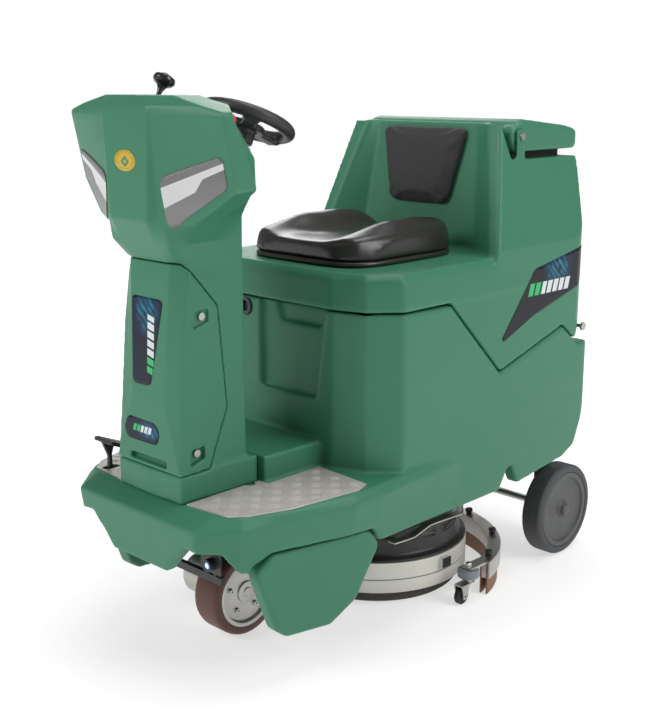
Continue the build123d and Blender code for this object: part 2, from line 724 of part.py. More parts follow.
with BuildPart() as tank_hinge_bolts:
    for side in (1, -1):
        rod((side * 196, tilt_y, tilt_z), (side * 306, tilt_y, tilt_z), 5)
        rod((side * 306, tilt_y, tilt_z), (side * 312, tilt_y, tilt_z), 11)
save(tank_hinge_bolts, "tank_hinge_bolts")

# ---- lid ----------------------------------------------------------------
with BuildPart() as tank_lid:
    profile([(336, 1098), (325, 1112), (325, 1140), (334, 1157), (350, 1171), (372, 1177),
             (560, 1158), (596, 1150), (606, 1140), (606, 1108), (598, 1098)], 246)
    top_edges = tank_lid.edges().filter_by(
        lambda edge: abs(abs(edge.center().X) - 246) < 0.01 and edge.center().Z > 1155)
    chamfer(top_edges, 9)
    # knuckles round the hinge bolts
    for side in (1, -1):
        rod((side * 210, lid_hinge_y, lid_hinge_z), (side * 246, lid_hinge_y, lid_hinge_z), 27)
    box_between((-190, 380, 1090), (190, 556, 1125))
    rod((-300, lid_hinge_y, lid_hinge_z), (-226, lid_hinge_y, lid_hinge_z), 4.05,
        mode=Mode.SUBTRACT)
    rod((300, lid_hinge_y, lid_hinge_z), (226, lid_hinge_y, lid_hinge_z), 4.05,
        mode=Mode.SUBTRACT)
save(tank_lid, "tank_lid")

with BuildPart() as lid_seal:
    with BuildSketch(Plane.XY.offset(tank_rim_z)):
        with Locations((0, 466)):
            RectangleRounded(430, 224, 14)
            RectangleRounded(406, 200, 8, mode=Mode.SUBTRACT)
    extrude(amount=17.6)
save(lid_seal, "lid_seal")

with BuildPart() as lid_hinge_bolts:
    for side in (1, -1):
        rod((side * 230, lid_hinge_y, lid_hinge_z), (side * 257, lid_hinge_y, lid_hinge_z), 4)
        rod((side * 257, lid_hinge_y, lid_hinge_z), (side * 262, lid_hinge_y, lid_hinge_z), 9)
save(lid_hinge_bolts, "lid_hinge_bolts")

# ---- seat ---------------------------------------------------------------
with BuildPart() as seat_trim:
    with BuildSketch(Plane.XY.offset(hood_top_z)):
        with Locations((0, seat_y)):
            RectangleRounded(380, 398, 62)
    extrude(amount=12)
save(seat_trim, "seat_trim")

with BuildPart() as seat_cushion:
    with BuildSketch(front_plane(seat_y - 194)) as cushion_section:
        with BuildLine():
            Polyline((-184, 869.3), (184, 869.3), (188, 910), (176, 940), (140, 943), (96, 924),
                     (0, 912), (-96, 924), (-140, 943), (-176, 940), (-188, 910), close=True)
        make_face()
        fillet(cushion_section.vertices().filter_by(lambda v: v.Z > 900), 10)
    extrude(cushion_section.sketch, amount=-388)
    with BuildSketch() as cushion_plan:
        with Locations((0, seat_y)):
            RectangleRounded(376, 386, 62)
    extrude(cushion_plan.sketch, amount=1000, mode=Mode.INTERSECT)
save(seat_cushion, "seat_cushion")

wall_up = Vector(0, 43, 318).normalized()
pad_plane = Plane(origin=(0, 269.1, 963), x_dir=(1, 0, 0), z_dir=(0, -wall_up.Z, wall_up.Y))
with BuildPart() as backrest_pad:
    with BuildSketch(pad_plane.offset(0.3)) as pad_outline:
        with BuildLine():
            Polyline((-96, 0), (96, 0), (138, 194), (-138, 194), close=True)
        make_face()
        fillet(pad_outline.vertices(), 18)
    extrude(amount=24)
    front_edges = backrest_pad.faces().sort_by(Axis.Y)[0].edges()
    fillet(front_edges, 6)
save(backrest_pad, "backrest_pad")

with BuildPart() as suction_motor:
    turned([(0, 736), (56, 736), (68, 750), (68, 820), (74, 820), (74, 842), (0, 842)],
           (-120, 190, 0), (0, 0, 1))
save(suction_motor, "suction_motor")

# ---- scrubbing deck -----------------------------------------------------
deck_axis = (0, deck_y, 0)
with BuildPart() as deck_cover:
    turned([(deck_radius, 116), (deck_radius, 122), (222, 128), (207, 208), (200, 215), (120, 235),
            (48, 235), (48, 229), (118, 229), (196, 208), (214, 124), (214, 116)],
           deck_axis, (0, 0, 1))
    # low ribs on the shoulder and the lifting tongue at the front
    for angle in range(15, 375, 30):
        across = (cos(radians(angle)), sin(radians(angle)))
        with BuildSketch(Plane(origin=(across[0] * 199, deck_y + across[1] * 199, 168),
                               z_dir=(across[0], across[1], 0))) as rib:
            Rectangle(84, 7)
        extrude(rib.sketch, amount=19)
    box_between((-22, -215, 116), (22, -120, 122), mode=Mode.ADD)
    for x in (-rail_x, rail_x):
        rod((x, deck_y, 196), (x, deck_y, 236), 15)
        rod((x, deck_y, 150), (x, deck_y, 260), 8.05, mode=Mode.SUBTRACT)
save(deck_cover, "deck_cover")

with BuildPart() as deck_ring:
    turned([(deck_radius, 38), (deck_radius, 70), (deck_radius - 2, 71), (deck_radius - 2, 73),
            (deck_radius, 74), (deck_radius, 116), (228, 116), (228, 38)], deck_axis, (0, 0, 1))
    # small latch on the side of the ring
    box_between((232, 80, 84), (250, 108, 108), mode=Mode.ADD)
save(deck_ring, "deck_ring")

with BuildPart() as brush_motor:
    turned([(12.05, 138), (46, 138), (46, 235), (62, 235), (62, 256), (0, 256), (0, 166),
            (12.05, 166)], deck_axis, (0, 0, 1))
save(brush_motor, "brush_motor")

with BuildPart() as brush_disc:
    turned([(0, 62), (208, 62), (208, 74), (60, 80), (30, 96), (12, 96), (12, 162), (0, 162)],
           deck_axis, (0, 0, 1))
save(brush_disc, "brush_disc")

with BuildPart() as brush_bristles:
    turned([(90, 62), (90, 6), (100, 2), (208, 2), (216, 8), (206, 62)], deck_axis, (0, 0, 1))
save(brush_bristles, "brush_bristles")

with BuildPart() as lift_actuator:
    turned([(8.05, 176), (18, 176), (18, 280), (0, 280), (0, 276), (8.05, 276)],
           (0, -202, 0), (0, 0, 1))
    box_between((-14, -220, 278), (14, -190, 304), mode=Mode.ADD)
save(lift_actuator, "lift_actuator")

with BuildPart() as actuator_rod:
    rod((0, -202, 122), (0, -202, 234), 8)
    rod((0, -202, 122), (0, -202, 132), 13)
save(actuator_rod, "actuator_rod")

# ---- squeegee -----------------------------------------------------------
with BuildPart() as squeegee_carrier:
    sector(322, 276, 76, 104, 252, 11.5)
    for angle in (82, 98):
        x, y, z = deck_point(squeegee_radius, angle, 256)
        rod((x, y, z), (x, y, 275), 4)
        rod((x, y, 271.5), (x, y, 277), 9)
    for angle in (79, 101):
        x, y, z = deck_point(slide_radius, angle, 98)
        rod((x, y, z), (x, y, 256), 6)
save(squeegee_carrier, "squeegee_carrier")

with BuildPart() as squeegee_frame:
    sector(332, 298, 12, 168, 86, 6)
    sector(321, 309, 13, 167, 44, 42)
    for angle in (79, 101):
        x, y, z = deck_point(slide_radius, angle, 86)
        rod((x, y, z), (x, y, 150), 12)
        rod((x, y, 80), (x, y, 160), 6.05, mode=Mode.SUBTRACT)
    # suction port at the rear
    rod(deck_point(315, 90, 92), deck_point(315, 90, 118), 22)
    rod(deck_point(315, 90, 44), deck_point(315, 90, 120), 16, mode=Mode.SUBTRACT)
    # tip plates with the pins of the rollers and casters
    for side in (1, -1):
        box_between((side * 302 - 15, 110, 86), (side * 302 + 15, 176, 92), mode=Mode.ADD)
        rod((side * 300, 120, 46), (side * 300, 120, 92), 5)
save(squeegee_frame, "squeegee_frame")

with BuildPart() as squeegee_blades:
    for outer, inner in ((308.7, 304.7), (325.3, 321.3)):
        sector(outer, inner, 13, 167, 1.5, 84)
save(squeegee_blades, "squeegee_blades")

for label, side in (("left", 1), ("right", -1)):
    with BuildPart() as roller:
        turned([(5.05, 64), (25, 64), (27, 66), (27, 83), (25, 85), (5.05, 85)],
               (side * 300, 120, 0), (0, 0, 1))
    save(roller, f"bumper_roller_{label}")
    with BuildPart() as fork:
        turned([(5.05, 49), (12, 49), (12, 62.5), (5.05, 62.5)], (side * 300, 120, 0), (0, 0, 1))
        box_between((side * 300 - 13, 80, 49), (side * 300 + 13, 132, 52), mode=Mode.ADD)
        rod((side * 300, 120, 40), (side * 300, 120, 60), 5.05, mode=Mode.SUBTRACT)
        for x in (side * 300 - 11.5, side * 300 + 11.5):
            with BuildSketch(side_plane(x - 1.5)) as leg:
                with BuildLine():
                    Polyline((80, 52), (112, 52), (99, 14), (87, 14), close=True)
                make_face()
            extrude(leg.sketch, amount=3)
        rod((side * 300 - 20, 93, 22), (side * 300 + 20, 93, 22), 3.05, mode=Mode.SUBTRACT)
    save(fork, f"caster_fork_{label}")
    with BuildPart() as wheel:
        turned([(0, -13), (3, -13), (3, -7), (20, -7), (22, -5), (22, 5), (20, 7), (3, 7), (3, 13),
                (0, 13)], (side * 300, 93, 22), (1, 0, 0))
    save(wheel, f"caster_wheel_{label}")

# ---- squeegee hose up the back of the machine ---------------------------
with BuildPart() as suction_hose:
    with BuildLine() as hose_path:
        FilletPolyline((0, deck_y + 315, 119), (0, deck_y + 315, 205), (0, 652, 205),
                       (0, 652, 720), (0, 591, 720), radius=32)
    with BuildSketch(Plane(origin=hose_path.line @ 0, z_dir=hose_path.line % 0)):
        Circle(16)
    sweep(path=hose_path.line)
save(suction_hose, "suction_hose")
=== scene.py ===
import json
import math

import bmesh
import bpy
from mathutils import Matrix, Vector


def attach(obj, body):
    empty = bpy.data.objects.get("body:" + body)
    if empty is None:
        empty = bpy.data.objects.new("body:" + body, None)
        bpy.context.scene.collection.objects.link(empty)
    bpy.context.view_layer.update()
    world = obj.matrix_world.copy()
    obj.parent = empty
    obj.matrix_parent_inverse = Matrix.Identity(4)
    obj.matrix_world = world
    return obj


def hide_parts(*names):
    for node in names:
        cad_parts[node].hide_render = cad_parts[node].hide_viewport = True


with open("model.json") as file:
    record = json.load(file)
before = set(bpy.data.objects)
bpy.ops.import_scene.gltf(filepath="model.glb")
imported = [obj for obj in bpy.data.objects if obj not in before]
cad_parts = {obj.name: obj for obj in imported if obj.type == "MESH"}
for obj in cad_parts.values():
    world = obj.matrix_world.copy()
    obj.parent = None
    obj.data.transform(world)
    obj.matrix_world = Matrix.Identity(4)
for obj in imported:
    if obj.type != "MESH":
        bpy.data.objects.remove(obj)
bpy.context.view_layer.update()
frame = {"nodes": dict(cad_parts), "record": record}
nodes = frame["nodes"]
print("frame loaded,", len(nodes), "CAD nodes")


# shader maths as plain expressions
class Signal:
    def __init__(self, tree, socket):
        self.tree = tree
        self.socket = socket

    def maths(self, operation, first, second=None, third=None):
        made = self.tree.nodes.new("ShaderNodeMath")
        made.operation = operation
        for place, value in enumerate((first, second, third)):
            if isinstance(value, Signal):
                self.tree.links.new(value.socket, made.inputs[place])
            elif value is not None:
                made.inputs[place].default_value = value
        return Signal(self.tree, made.outputs[0])

    def __add__(self, other):
        return self.maths("ADD", self, other)

    def __radd__(self, other):
        return self.maths("ADD", other, self)

    def __sub__(self, other):
        return self.maths("SUBTRACT", self, other)

    def __rsub__(self, other):
        return self.maths("SUBTRACT", other, self)

    def __mul__(self, other):
        return self.maths("MULTIPLY", self, other)

    def __rmul__(self, other):
        return self.maths("MULTIPLY", other, self)

    def __truediv__(self, other):
        return self.maths("DIVIDE", self, other)

    def __rtruediv__(self, other):
        return self.maths("DIVIDE", other, self)

    def __gt__(self, other):
        return self.maths("GREATER_THAN", self, other)

    def __lt__(self, other):
        return self.maths("LESS_THAN", self, other)

    def __abs__(self):
        return self.maths("ABSOLUTE", self)

    def power(self, exponent):
        return self.maths("POWER", self, exponent)

    def wrapped(self, length):
        return self.maths("WRAP", self, length, 0.0)

    def held(self):
        made = self.tree.nodes.new("ShaderNodeClamp")
        self.tree.links.new(self.socket, made.inputs["Value"])
        return Signal(self.tree, made.outputs[0])


class Finish:
    def __init__(self, name, colour, roughness=0.5, metal=0.0, **fixed):
        self.material = bpy.data.materials.new(name)
        self.material.use_nodes = True
        self.tree = self.material.node_tree
        self.shader = self.tree.nodes["Principled BSDF"]
        self.shader.inputs["Base Color"].default_value = (*colour, 1)
        self.shader.inputs["Roughness"].default_value = roughness
        self.shader.inputs["Metallic"].default_value = metal
        for socket, value in fixed.items():
            self.shader.inputs[socket.replace("_", " ")].default_value = value

    def node(self, kind, settings=None, inputs=None, out=0):
        made = self.tree.nodes.new(kind)
        for key, value in (settings or {}).items():
            if key == "stops":
                ramp = made.color_ramp
                while len(ramp.elements) < len(value):
                    ramp.elements.new(0.5)
                for element, (place, tone) in zip(ramp.elements, value):
                    element.position = place
                    element.color = (*tone, 1) if len(tone) == 3 else tone
            else:
                setattr(made, key, value)
        for key, value in (inputs or {}).items():
            if isinstance(value, Signal):
                self.tree.links.new(value.socket, made.inputs[key])
            else:
                made.inputs[key].default_value = value
        return Signal(self.tree, made.outputs[out])

    def feed(self, name, signal):
        self.tree.links.new(signal.socket, self.shader.inputs[name])

    def place(self, kind="Object"):
        return self.node("ShaderNodeTexCoord", out=["Generated", "Normal", "UV", "Object"].index(kind))

    def axes(self, vector):
        split = self.tree.nodes.new("ShaderNodeSeparateXYZ")
        self.tree.links.new(vector.socket, split.inputs[0])
        return [Signal(self.tree, split.outputs[i]) for i in range(3)]

    def noise(self, scale, detail=3.0, rough=0.5, vector=None):
        return self.node("ShaderNodeTexNoise", None, {
            "Vector": vector or self.place(), "Scale": scale, "Detail": detail, "Roughness": rough})

    def blend(self, factor, first, second):
        made = self.tree.nodes.new("ShaderNodeMix")
        made.data_type = "RGBA"
        for place, value in ((0, factor), (6, first), (7, second)):
            if isinstance(value, Signal):
                self.tree.links.new(value.socket, made.inputs[place])
            else:
                made.inputs[place].default_value = (*value, 1) if place else value
        return Signal(self.tree, made.outputs[2])

    def bump(self, height, strength, distance):
        self.feed("Normal", self.node("ShaderNodeBump", None, {
            "Height": height, "Strength": strength, "Distance": distance}))


# finishes
# 'edge' is the lighter green used for the painted highlight along ridges
greenSkin = {"lit": (0.043, 0.188, 0.108), "deep": (0.035, 0.166, 0.094), "edge": (0.060, 0.222, 0.135),
             "grain": 900, "ripple": 14}


def makeGreen():
    f = Finish("greenMoulding", greenSkin["lit"], 0.42, Specular_IOR_Level=0.32)
    patches = f.noise(2.2, 4)
    colour = f.blend(patches, greenSkin["deep"], greenSkin["lit"])
    # sharp ridges found by pointiness are turned the lighter 'edge' green: a painted edge highlight
    ridge = f.node("ShaderNodeNewGeometry", out=7)
    paintedEdgeHighlight = ((ridge - 0.508) * 16).held() * 0.7
    f.feed("Base Color", f.blend(paintedEdgeHighlight, colour, greenSkin["edge"]))
    f.feed("Roughness", 0.36 + f.noise(26, 5) * 0.16)
    f.bump(f.noise(greenSkin["grain"], 2) * 0.35 + f.noise(greenSkin["ripple"], 2), 0.25, 0.0009)
    return f.material


def makePlastic(name, colour, roughness=0.5, grain=1400, grainDepth=0.0002, spread=0.12):
    f = Finish(name, colour, roughness)
    lighter = tuple(min(1, c * (1 + spread) + 0.004) for c in colour)
    darker = tuple(c * (1 - spread) for c in colour)
    f.feed("Base Color", f.blend(f.noise(9, 4), darker, lighter))
    f.feed("Roughness", roughness - 0.06 + f.noise(40, 4) * 0.12)
    f.bump(f.noise(grain, 2), 0.35, grainDepth)
    return f.material


def makeMetal(name, colour, roughness=0.3, brushed=(1, 1, 40), dirt=0.15):
    f = Finish(name, colour, roughness, 1.0)
    stretched = f.node("ShaderNodeMapping", None, {"Vector": f.place(), "Scale": brushed})
    lines = f.noise(60, 4, 0.6, stretched)
    stain = f.noise(18, 5, 0.6)
    dull = tuple(c * (1 - dirt * 2) for c in colour)
    f.feed("Base Color", f.blend(stain, dull, colour))
    f.feed("Roughness", roughness - 0.08 + lines * 0.1 + stain * 0.12)
    f.bump(lines, 0.2, 0.0002)
    return f.material


def makeRubber(name, colour, roughness=0.62, dust=(0.16, 0.16, 0.16)):
    f = Finish(name, colour, roughness, Specular_IOR_Level=0.35)
    dusty = ((f.noise(12, 6, 0.65) - 0.5) * 2.4).held() * 0.35
    f.feed("Base Color", f.blend(dusty, colour, dust))
    f.feed("Roughness", roughness + f.noise(60, 4) * 0.12)
    f.bump(f.noise(700, 3), 0.3, 0.0003)
    return f.material


seatSkin = {"colour": (0.018, 0.017, 0.017), "roughness": 0.2, "grain": 520}


def makeVinyl():
    f = Finish("seatVinyl", seatSkin["colour"], seatSkin["roughness"], Specular_IOR_Level=0.5,
               Coat_Weight=0.15, Coat_Roughness=0.2)
    cells = f.node("ShaderNodeTexVoronoi", {"feature": "SMOOTH_F1"}, {
        "Vector": f.place(), "Scale": seatSkin["grain"]})
    f.feed("Base Color", f.blend(f.noise(7, 3), (0.014, 0.013, 0.0125), (0.024, 0.021, 0.019)))
    f.feed("Roughness", 0.27 + f.noise(30, 4) * 0.12)
    f.bump(cells * 0.6 + f.noise(60, 3) * 0.7, 0.18, 0.0005)
    return f.material


def makeFoam():
    f = Finish("padSkin", (0.018, 0.018, 0.019), 0.68, Sheen_Weight=0.08, Sheen_Roughness=0.5)
    f.feed("Base Color", f.blend(f.noise(5, 4), (0.013, 0.013, 0.0135), (0.023, 0.022, 0.022)))
    f.feed("Roughness", 0.6 + f.noise(90, 4) * 0.18)
    f.bump(f.noise(1100, 3, 0.7) + f.noise(35, 3) * 0.5, 0.4, 0.0006)
    return f.material


def makeTread():
    f = Finish("treadAluminium", (0.60, 0.56, 0.54), 0.46, 0.35)
    scuffs = f.noise(55, 7, 0.7)
    f.feed("Base Color", f.blend(scuffs, (0.40, 0.365, 0.345), (0.62, 0.575, 0.55)))
    f.feed("Roughness", 0.36 + f.noise(160, 5) * 0.26)
    f.bump(f.noise(420, 4), 0.25, 0.0003)
    return f.material


def makeBristle():
    f = Finish("bristleFibre", (0.25, 0.17, 0.11), 0.7)
    stretched = f.node("ShaderNodeMapping", None, {"Vector": f.place(), "Scale": (1, 1, 0.03)})
    strands = f.noise(520, 2, 0.5, stretched)
    f.feed("Base Color", f.blend(strands, (0.02, 0.02, 0.022), (0.10, 0.085, 0.07)))
    f.bump(strands, 1.0, 0.002)
    return f.material


def makeHose():
    f = Finish("hoseRubber", (0.02, 0.02, 0.021), 0.5)
    x, y, z = f.axes(f.place())
    rings = abs(((y + z) * 90).wrapped(1.0) - 0.5) * 2
    f.feed("Base Color", f.blend(f.noise(20, 4), (0.016, 0.016, 0.017), (0.035, 0.035, 0.037)))
    f.bump(rings, 0.9, 0.0025)
    return f.material


def makeLens():
    f = Finish("lampLens", (0.30, 0.45, 1.0), 0.08, Emission_Strength=1.3)
    x, y, z = f.axes(f.place())
    across = abs(x - 0.123) + abs(z - 0.258)
    f.feed("Emission Color", f.blend((across * 60).held(), (0.55, 0.75, 1.0), (0.02, 0.06, 0.30)))
    return f.material


def makeDeckRing():
    f = Finish("ivoryRing", (0.62, 0.60, 0.54), 0.45)
    x, y, z = f.axes(f.place())
    # darker brownish tone towards the bottom of the ring, broken up by noise
    lowerDarkening = ((0.060 - z) * 26).held() * 0.5 * f.noise(14, 5, 0.7)
    line = (abs(z - 0.072) < 0.0014) * 0.75
    base = f.blend(f.noise(10, 4), (0.56, 0.55, 0.49), (0.70, 0.69, 0.63))
    f.feed("Base Color", f.blend(line, f.blend(lowerDarkening, base, (0.22, 0.19, 0.16)), (0.08, 0.08, 0.07)))
    f.feed("Roughness", 0.34 + f.noise(30, 4) * 0.2)
    f.bump(f.noise(300, 3), 0.2, 0.0003)
    return f.material


green = makeGreen()
blackPlastic = makePlastic("blackPlastic", (0.022, 0.022, 0.024), 0.46)
glossBlack = makePlastic("glossBlack", (0.016, 0.016, 0.017), 0.16, 2000, 0.00005)
charcoal = makePlastic("charcoalPlastic", (0.020, 0.018, 0.018), 0.42)
greyPlastic = makePlastic("greyPlastic", (0.40, 0.40, 0.40), 0.45)
rollerGrey = makePlastic("rollerGrey", (0.19, 0.215, 0.24), 0.5)
rimGrey = makePlastic("rimGrey", (0.066, 0.068, 0.070), 0.5)
redPlastic = makePlastic("redPlastic", (0.55, 0.02, 0.015), 0.3)
batteryCase = makePlastic("batteryCase", (0.05, 0.05, 0.055), 0.5)
whitePlastic = makePlastic("whiteBoss", (0.60, 0.59, 0.57), 0.42)
vinyl = makeVinyl()
foam = makeFoam()
tread = makeTread()
bristle = makeBristle()
hoseRubber = makeHose()
lens = makeLens()
ivory = makeDeckRing()
castAlloy = makeMetal("castAlloy", (0.62, 0.60, 0.57), 0.38, (1, 1, 1), 0.2)
steel = makeMetal("plainSteel", (0.60, 0.60, 0.60), 0.32, (1, 20, 20))
zinc = makeMetal("zincPlate", (0.56, 0.54, 0.51), 0.34, (6, 6, 1), 0.25)
framePaint = makePlastic("framePaint", (0.026, 0.026, 0.028), 0.38)
blackRubber = makeRubber("blackRubber", (0.018, 0.018, 0.018), 0.6)
tyreRubber = makeRubber("tyreRubber", (0.060, 0.063, 0.068), 0.55, (0.12, 0.12, 0.12))
driveRubber = makeRubber("driveRubber", (0.115, 0.052, 0.040), 0.42, (0.18, 0.12, 0.10))
bladeRubber = makeRubber("bladeRubber", (0.21, 0.105, 0.055), 0.5, (0.26, 0.20, 0.15))
print("finishes made")


# tools for pieces
def ridesOn(node):
    for body, members in frame["record"]["behaviour"]["bodies"].items():
        if node in members:
            return body
    raise ValueError(node)


def settle(piece):
    view = bpy.context.evaluated_depsgraph_get()
    view.update()
    mesh = bpy.data.meshes.new_from_object(piece.evaluated_get(view))
    piece.modifiers.clear()
    piece.data = mesh
    return piece


def asPiece(name, mesh, body, finish, smooth=True):
    piece = bpy.data.objects.new(name, mesh)
    bpy.context.scene.collection.objects.link(piece)
    mesh.materials.clear()
    mesh.materials.append(finish)
    for face in mesh.polygons:
        face.use_smooth = smooth
        face.material_index = 0
    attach(piece, body)
    return piece


def fromLists(name, points, faces, body, finish, smooth=True):
    mesh = bpy.data.meshes.new(name)
    mesh.from_pydata([tuple(p) for p in points], [], faces)
    work = bmesh.new()
    work.from_mesh(mesh)
    bmesh.ops.recalc_face_normals(work, faces=work.faces)
    work.to_mesh(mesh)
    work.free()
    return asPiece(name, mesh, body, finish, smooth)


def joined(nodeNames):
    work = bmesh.new()
    for name in nodeNames:
        work.from_mesh(nodes[name].data)
    mesh = bpy.data.meshes.new("joined")
    work.to_mesh(mesh)
    work.free()
    return mesh


def mouldedSkin(name, nodeNames, voxel, rounds, finish, keep=1.0):
    piece = asPiece(name, joined(nodeNames), ridesOn(nodeNames[0]), finish)
    remesh = piece.modifiers.new("remesh", "REMESH")
    remesh.mode = "VOXEL"
    remesh.voxel_size = voxel
    soften = piece.modifiers.new("soften", "SMOOTH")
    soften.factor = 0.5
    soften.iterations = rounds
    if keep < 1:
        thin = piece.modifiers.new("thin", "DECIMATE")
        thin.ratio = keep
    settle(piece)
    for face in piece.data.polygons:
        face.use_smooth = True
    piece.data.materials.clear()
    piece.data.materials.append(finish)
    print(name, len(piece.data.polygons), "faces")
    return piece


def roundCorners(points, radius, steps=6):
    made = []
    for i, here in enumerate(points):
        here = Vector(here)
        before = Vector(points[i - 1]) - here
        after = Vector(points[(i + 1) % len(points)]) - here
        reach = min(radius, before.length * 0.45, after.length * 0.45)
        a = here + before.normalized() * reach
        b = here + after.normalized() * reach
        for k in range(steps + 1):
            t = k / steps
            made.append(a * (1 - t) ** 2 + here * 2 * t * (1 - t) + b * t ** 2)
    return made


def sticker(name, outline, origin, across, up, onto, finish, body, lift=0.0009):
    across, up = Vector(across).normalized(), Vector(up)
    up = (up - across * up.dot(across)).normalized()
    work = bmesh.new()
    corners = [work.verts.new(Vector(origin) + across * u + up * v) for u, v in outline]
    work.faces.new(corners)
    bmesh.ops.triangulate(work, faces=work.faces[:])
    for step in range(3):
        long = [e for e in work.edges if e.calc_length() > 0.012]
        if long:
            bmesh.ops.subdivide_edges(work, edges=long, cuts=2, use_grid_fill=True)
            bmesh.ops.triangulate(work, faces=work.faces[:])
    uv = work.loops.layers.uv.new("art")
    for face in work.faces:
        for loop in face.loops:
            arm = loop.vert.co - Vector(origin)
            loop[uv].uv = (arm.dot(across), arm.dot(up))
    mesh = bpy.data.meshes.new(name)
    bmesh.ops.recalc_face_normals(work, faces=work.faces)
    outward = across.cross(up)
    if work.faces[:][0].normal.dot(outward) < 0:
        bmesh.ops.reverse_faces(work, faces=work.faces)
    work.to_mesh(mesh)
    work.free()
    piece = asPiece(name, mesh, body, finish)
    cling = piece.modifiers.new("cling", "SHRINKWRAP")
    cling.target = onto
    cling.wrap_method = "NEAREST_SURFACEPOINT"
    cling.wrap_mode = "OUTSIDE_SURFACE"
    cling.offset = lift
    thick = piece.modifiers.new("thick", "SOLIDIFY")
    thick.thickness = lift * 0.8
    thick.offset = -1
    return settle(piece)


def lathe(name, outline, centre, axis, body, finish, steps=96, crease=35):
    axis = Vector(axis).normalized()
    side = Vector((1, 0, 0)) if abs(axis.x) < 0.5 else Vector((0, 1, 0))
    side = (side - axis * side.dot(axis)).normalized()
    other = axis.cross(side)
    points, faces = [], []
    for k in range(steps):
        turn = 2 * math.pi * k / steps
        arm = side * math.cos(turn) + other * math.sin(turn)
        points += [Vector(centre) + arm * r + axis * h for r, h in outline]
    count = len(outline)
    for k in range(steps):
        for i in range(count - 1):
            a, b = k * count + i, ((k + 1) % steps) * count + i
            faces.append((a, a + 1, b + 1, b))
    piece = fromLists(name, points, faces, body, finish)
    work = bmesh.new()
    work.from_mesh(piece.data)
    bmesh.ops.remove_doubles(work, verts=work.verts, dist=1e-6)
    for edge in work.edges:
        if len(edge.link_faces) == 2 and edge.calc_face_angle() > math.radians(crease):
            edge.smooth = False
    work.to_mesh(piece.data)
    work.free()
    return piece


def dressed(nodeName, finish):
    for place in nodes[nodeName].material_slots:
        place.material = finish


# moulded shells
lowerSkin = mouldedSkin("lowerBodySkin", ["lower_body"], 0.004, 13, green, 0.33)
tankSkin = mouldedSkin("recoveryTankSkin", ["recovery_tank"], 0.0045, 8, green, 0.5)
columnSkin = mouldedSkin("columnSkin", ["column_shell", "headlight_inlays"], 0.0033, 9, green, 0.5)
# wells under the three dash buttons, kept open for their stems
well = {"middle": (-0.50895, 1.18348), "above": -0.007, "floor": 0.0055}
pressed = Vector((0, -0.737154, -0.675725))
for x, reach in ((0.130, 0.0112), (0.092, 0.0092), (0.060, 0.0092)):
    for point in columnSkin.data.vertices:
        arm = point.co - Vector((x, *well["middle"]))
        down = arm.dot(pressed)
        if well["above"] < down < well["floor"] and (arm - pressed * down).length < reach:
            point.co += pressed * (well["floor"] - down)
coverSkin = mouldedSkin("coverSkin", ["front_cover"], 0.0025, 5, green, 0.7)
lidSkin = mouldedSkin("lidSkin", ["tank_lid"], 0.004, 9, green)
skirtLeft = mouldedSkin("skirtLeftSkin", ["side_skirt_left"], 0.003, 9, green)
skirtRight = mouldedSkin("skirtRightSkin", ["side_skirt_right"], 0.003, 9, green)
for skin, node in ((lowerSkin, "lower_body"), (tankSkin, "recovery_tank"), (columnSkin, "column_shell"),
                   (coverSkin, "front_cover"), (lidSkin, "tank_lid"), (skirtLeft, "side_skirt_left"),
                   (skirtRight, "side_skirt_right")):
    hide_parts(node)
print("shells moulded")


# lamp windows on the head
windowLook = {"top": (0.15, 0.15, 0.15), "stripe": (0.56, 0.56, 0.57), "low": (0.115, 0.115, 0.115)}
windowOutline = [(1, -5), (12, 8), (139.5, 47.5), (149, 43.5), (153.5, -8), (147, -17), (29, -92.5), (14.5, -90)]


def makeWindow():
    f = Finish("lampWindow", windowLook["top"], 0.42, Specular_IOR_Level=0.3)
    u, v, w = f.axes(f.place("UV"))
    u = u * 1000
    v = v * 1000
    above = v > (u * 0.3635 - 17.4)
    steep = (u > 80.6) * (u < 100.3)
    foot = (u < 80.6) * (u * 0.482 - 61.1) + steep * (u * 1.36 - 131.8) + (u > 100.3) * (u * 0.407 - 36.2)
    below = v < foot
    shade = (abs(v + 60) * 0.012).held() * 0.7
    low = f.blend(shade, (0.20, 0.20, 0.20), windowLook["low"])
    tone = f.blend(above, windowLook["stripe"], windowLook["top"])
    f.feed("Base Color", f.blend(below, tone, low))
    f.feed("Roughness", 0.3 + f.noise(80, 3) * 0.12)
    return f.material


windowSkin = makeWindow()
for side, word in ((1, "Left"), (-1, "Right")):
    outline = [(u / 1000, v / 1000) for u, v in roundCorners(windowOutline, 9)]
    sticker("lampWindow" + word, outline, (side * 0.088, -0.6405, 1.080), (side * 171, 62, 0), (0, -0.16, 1),
            columnSkin, windowSkin, "chassis", 0.0011)
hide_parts("headlight_inlays")


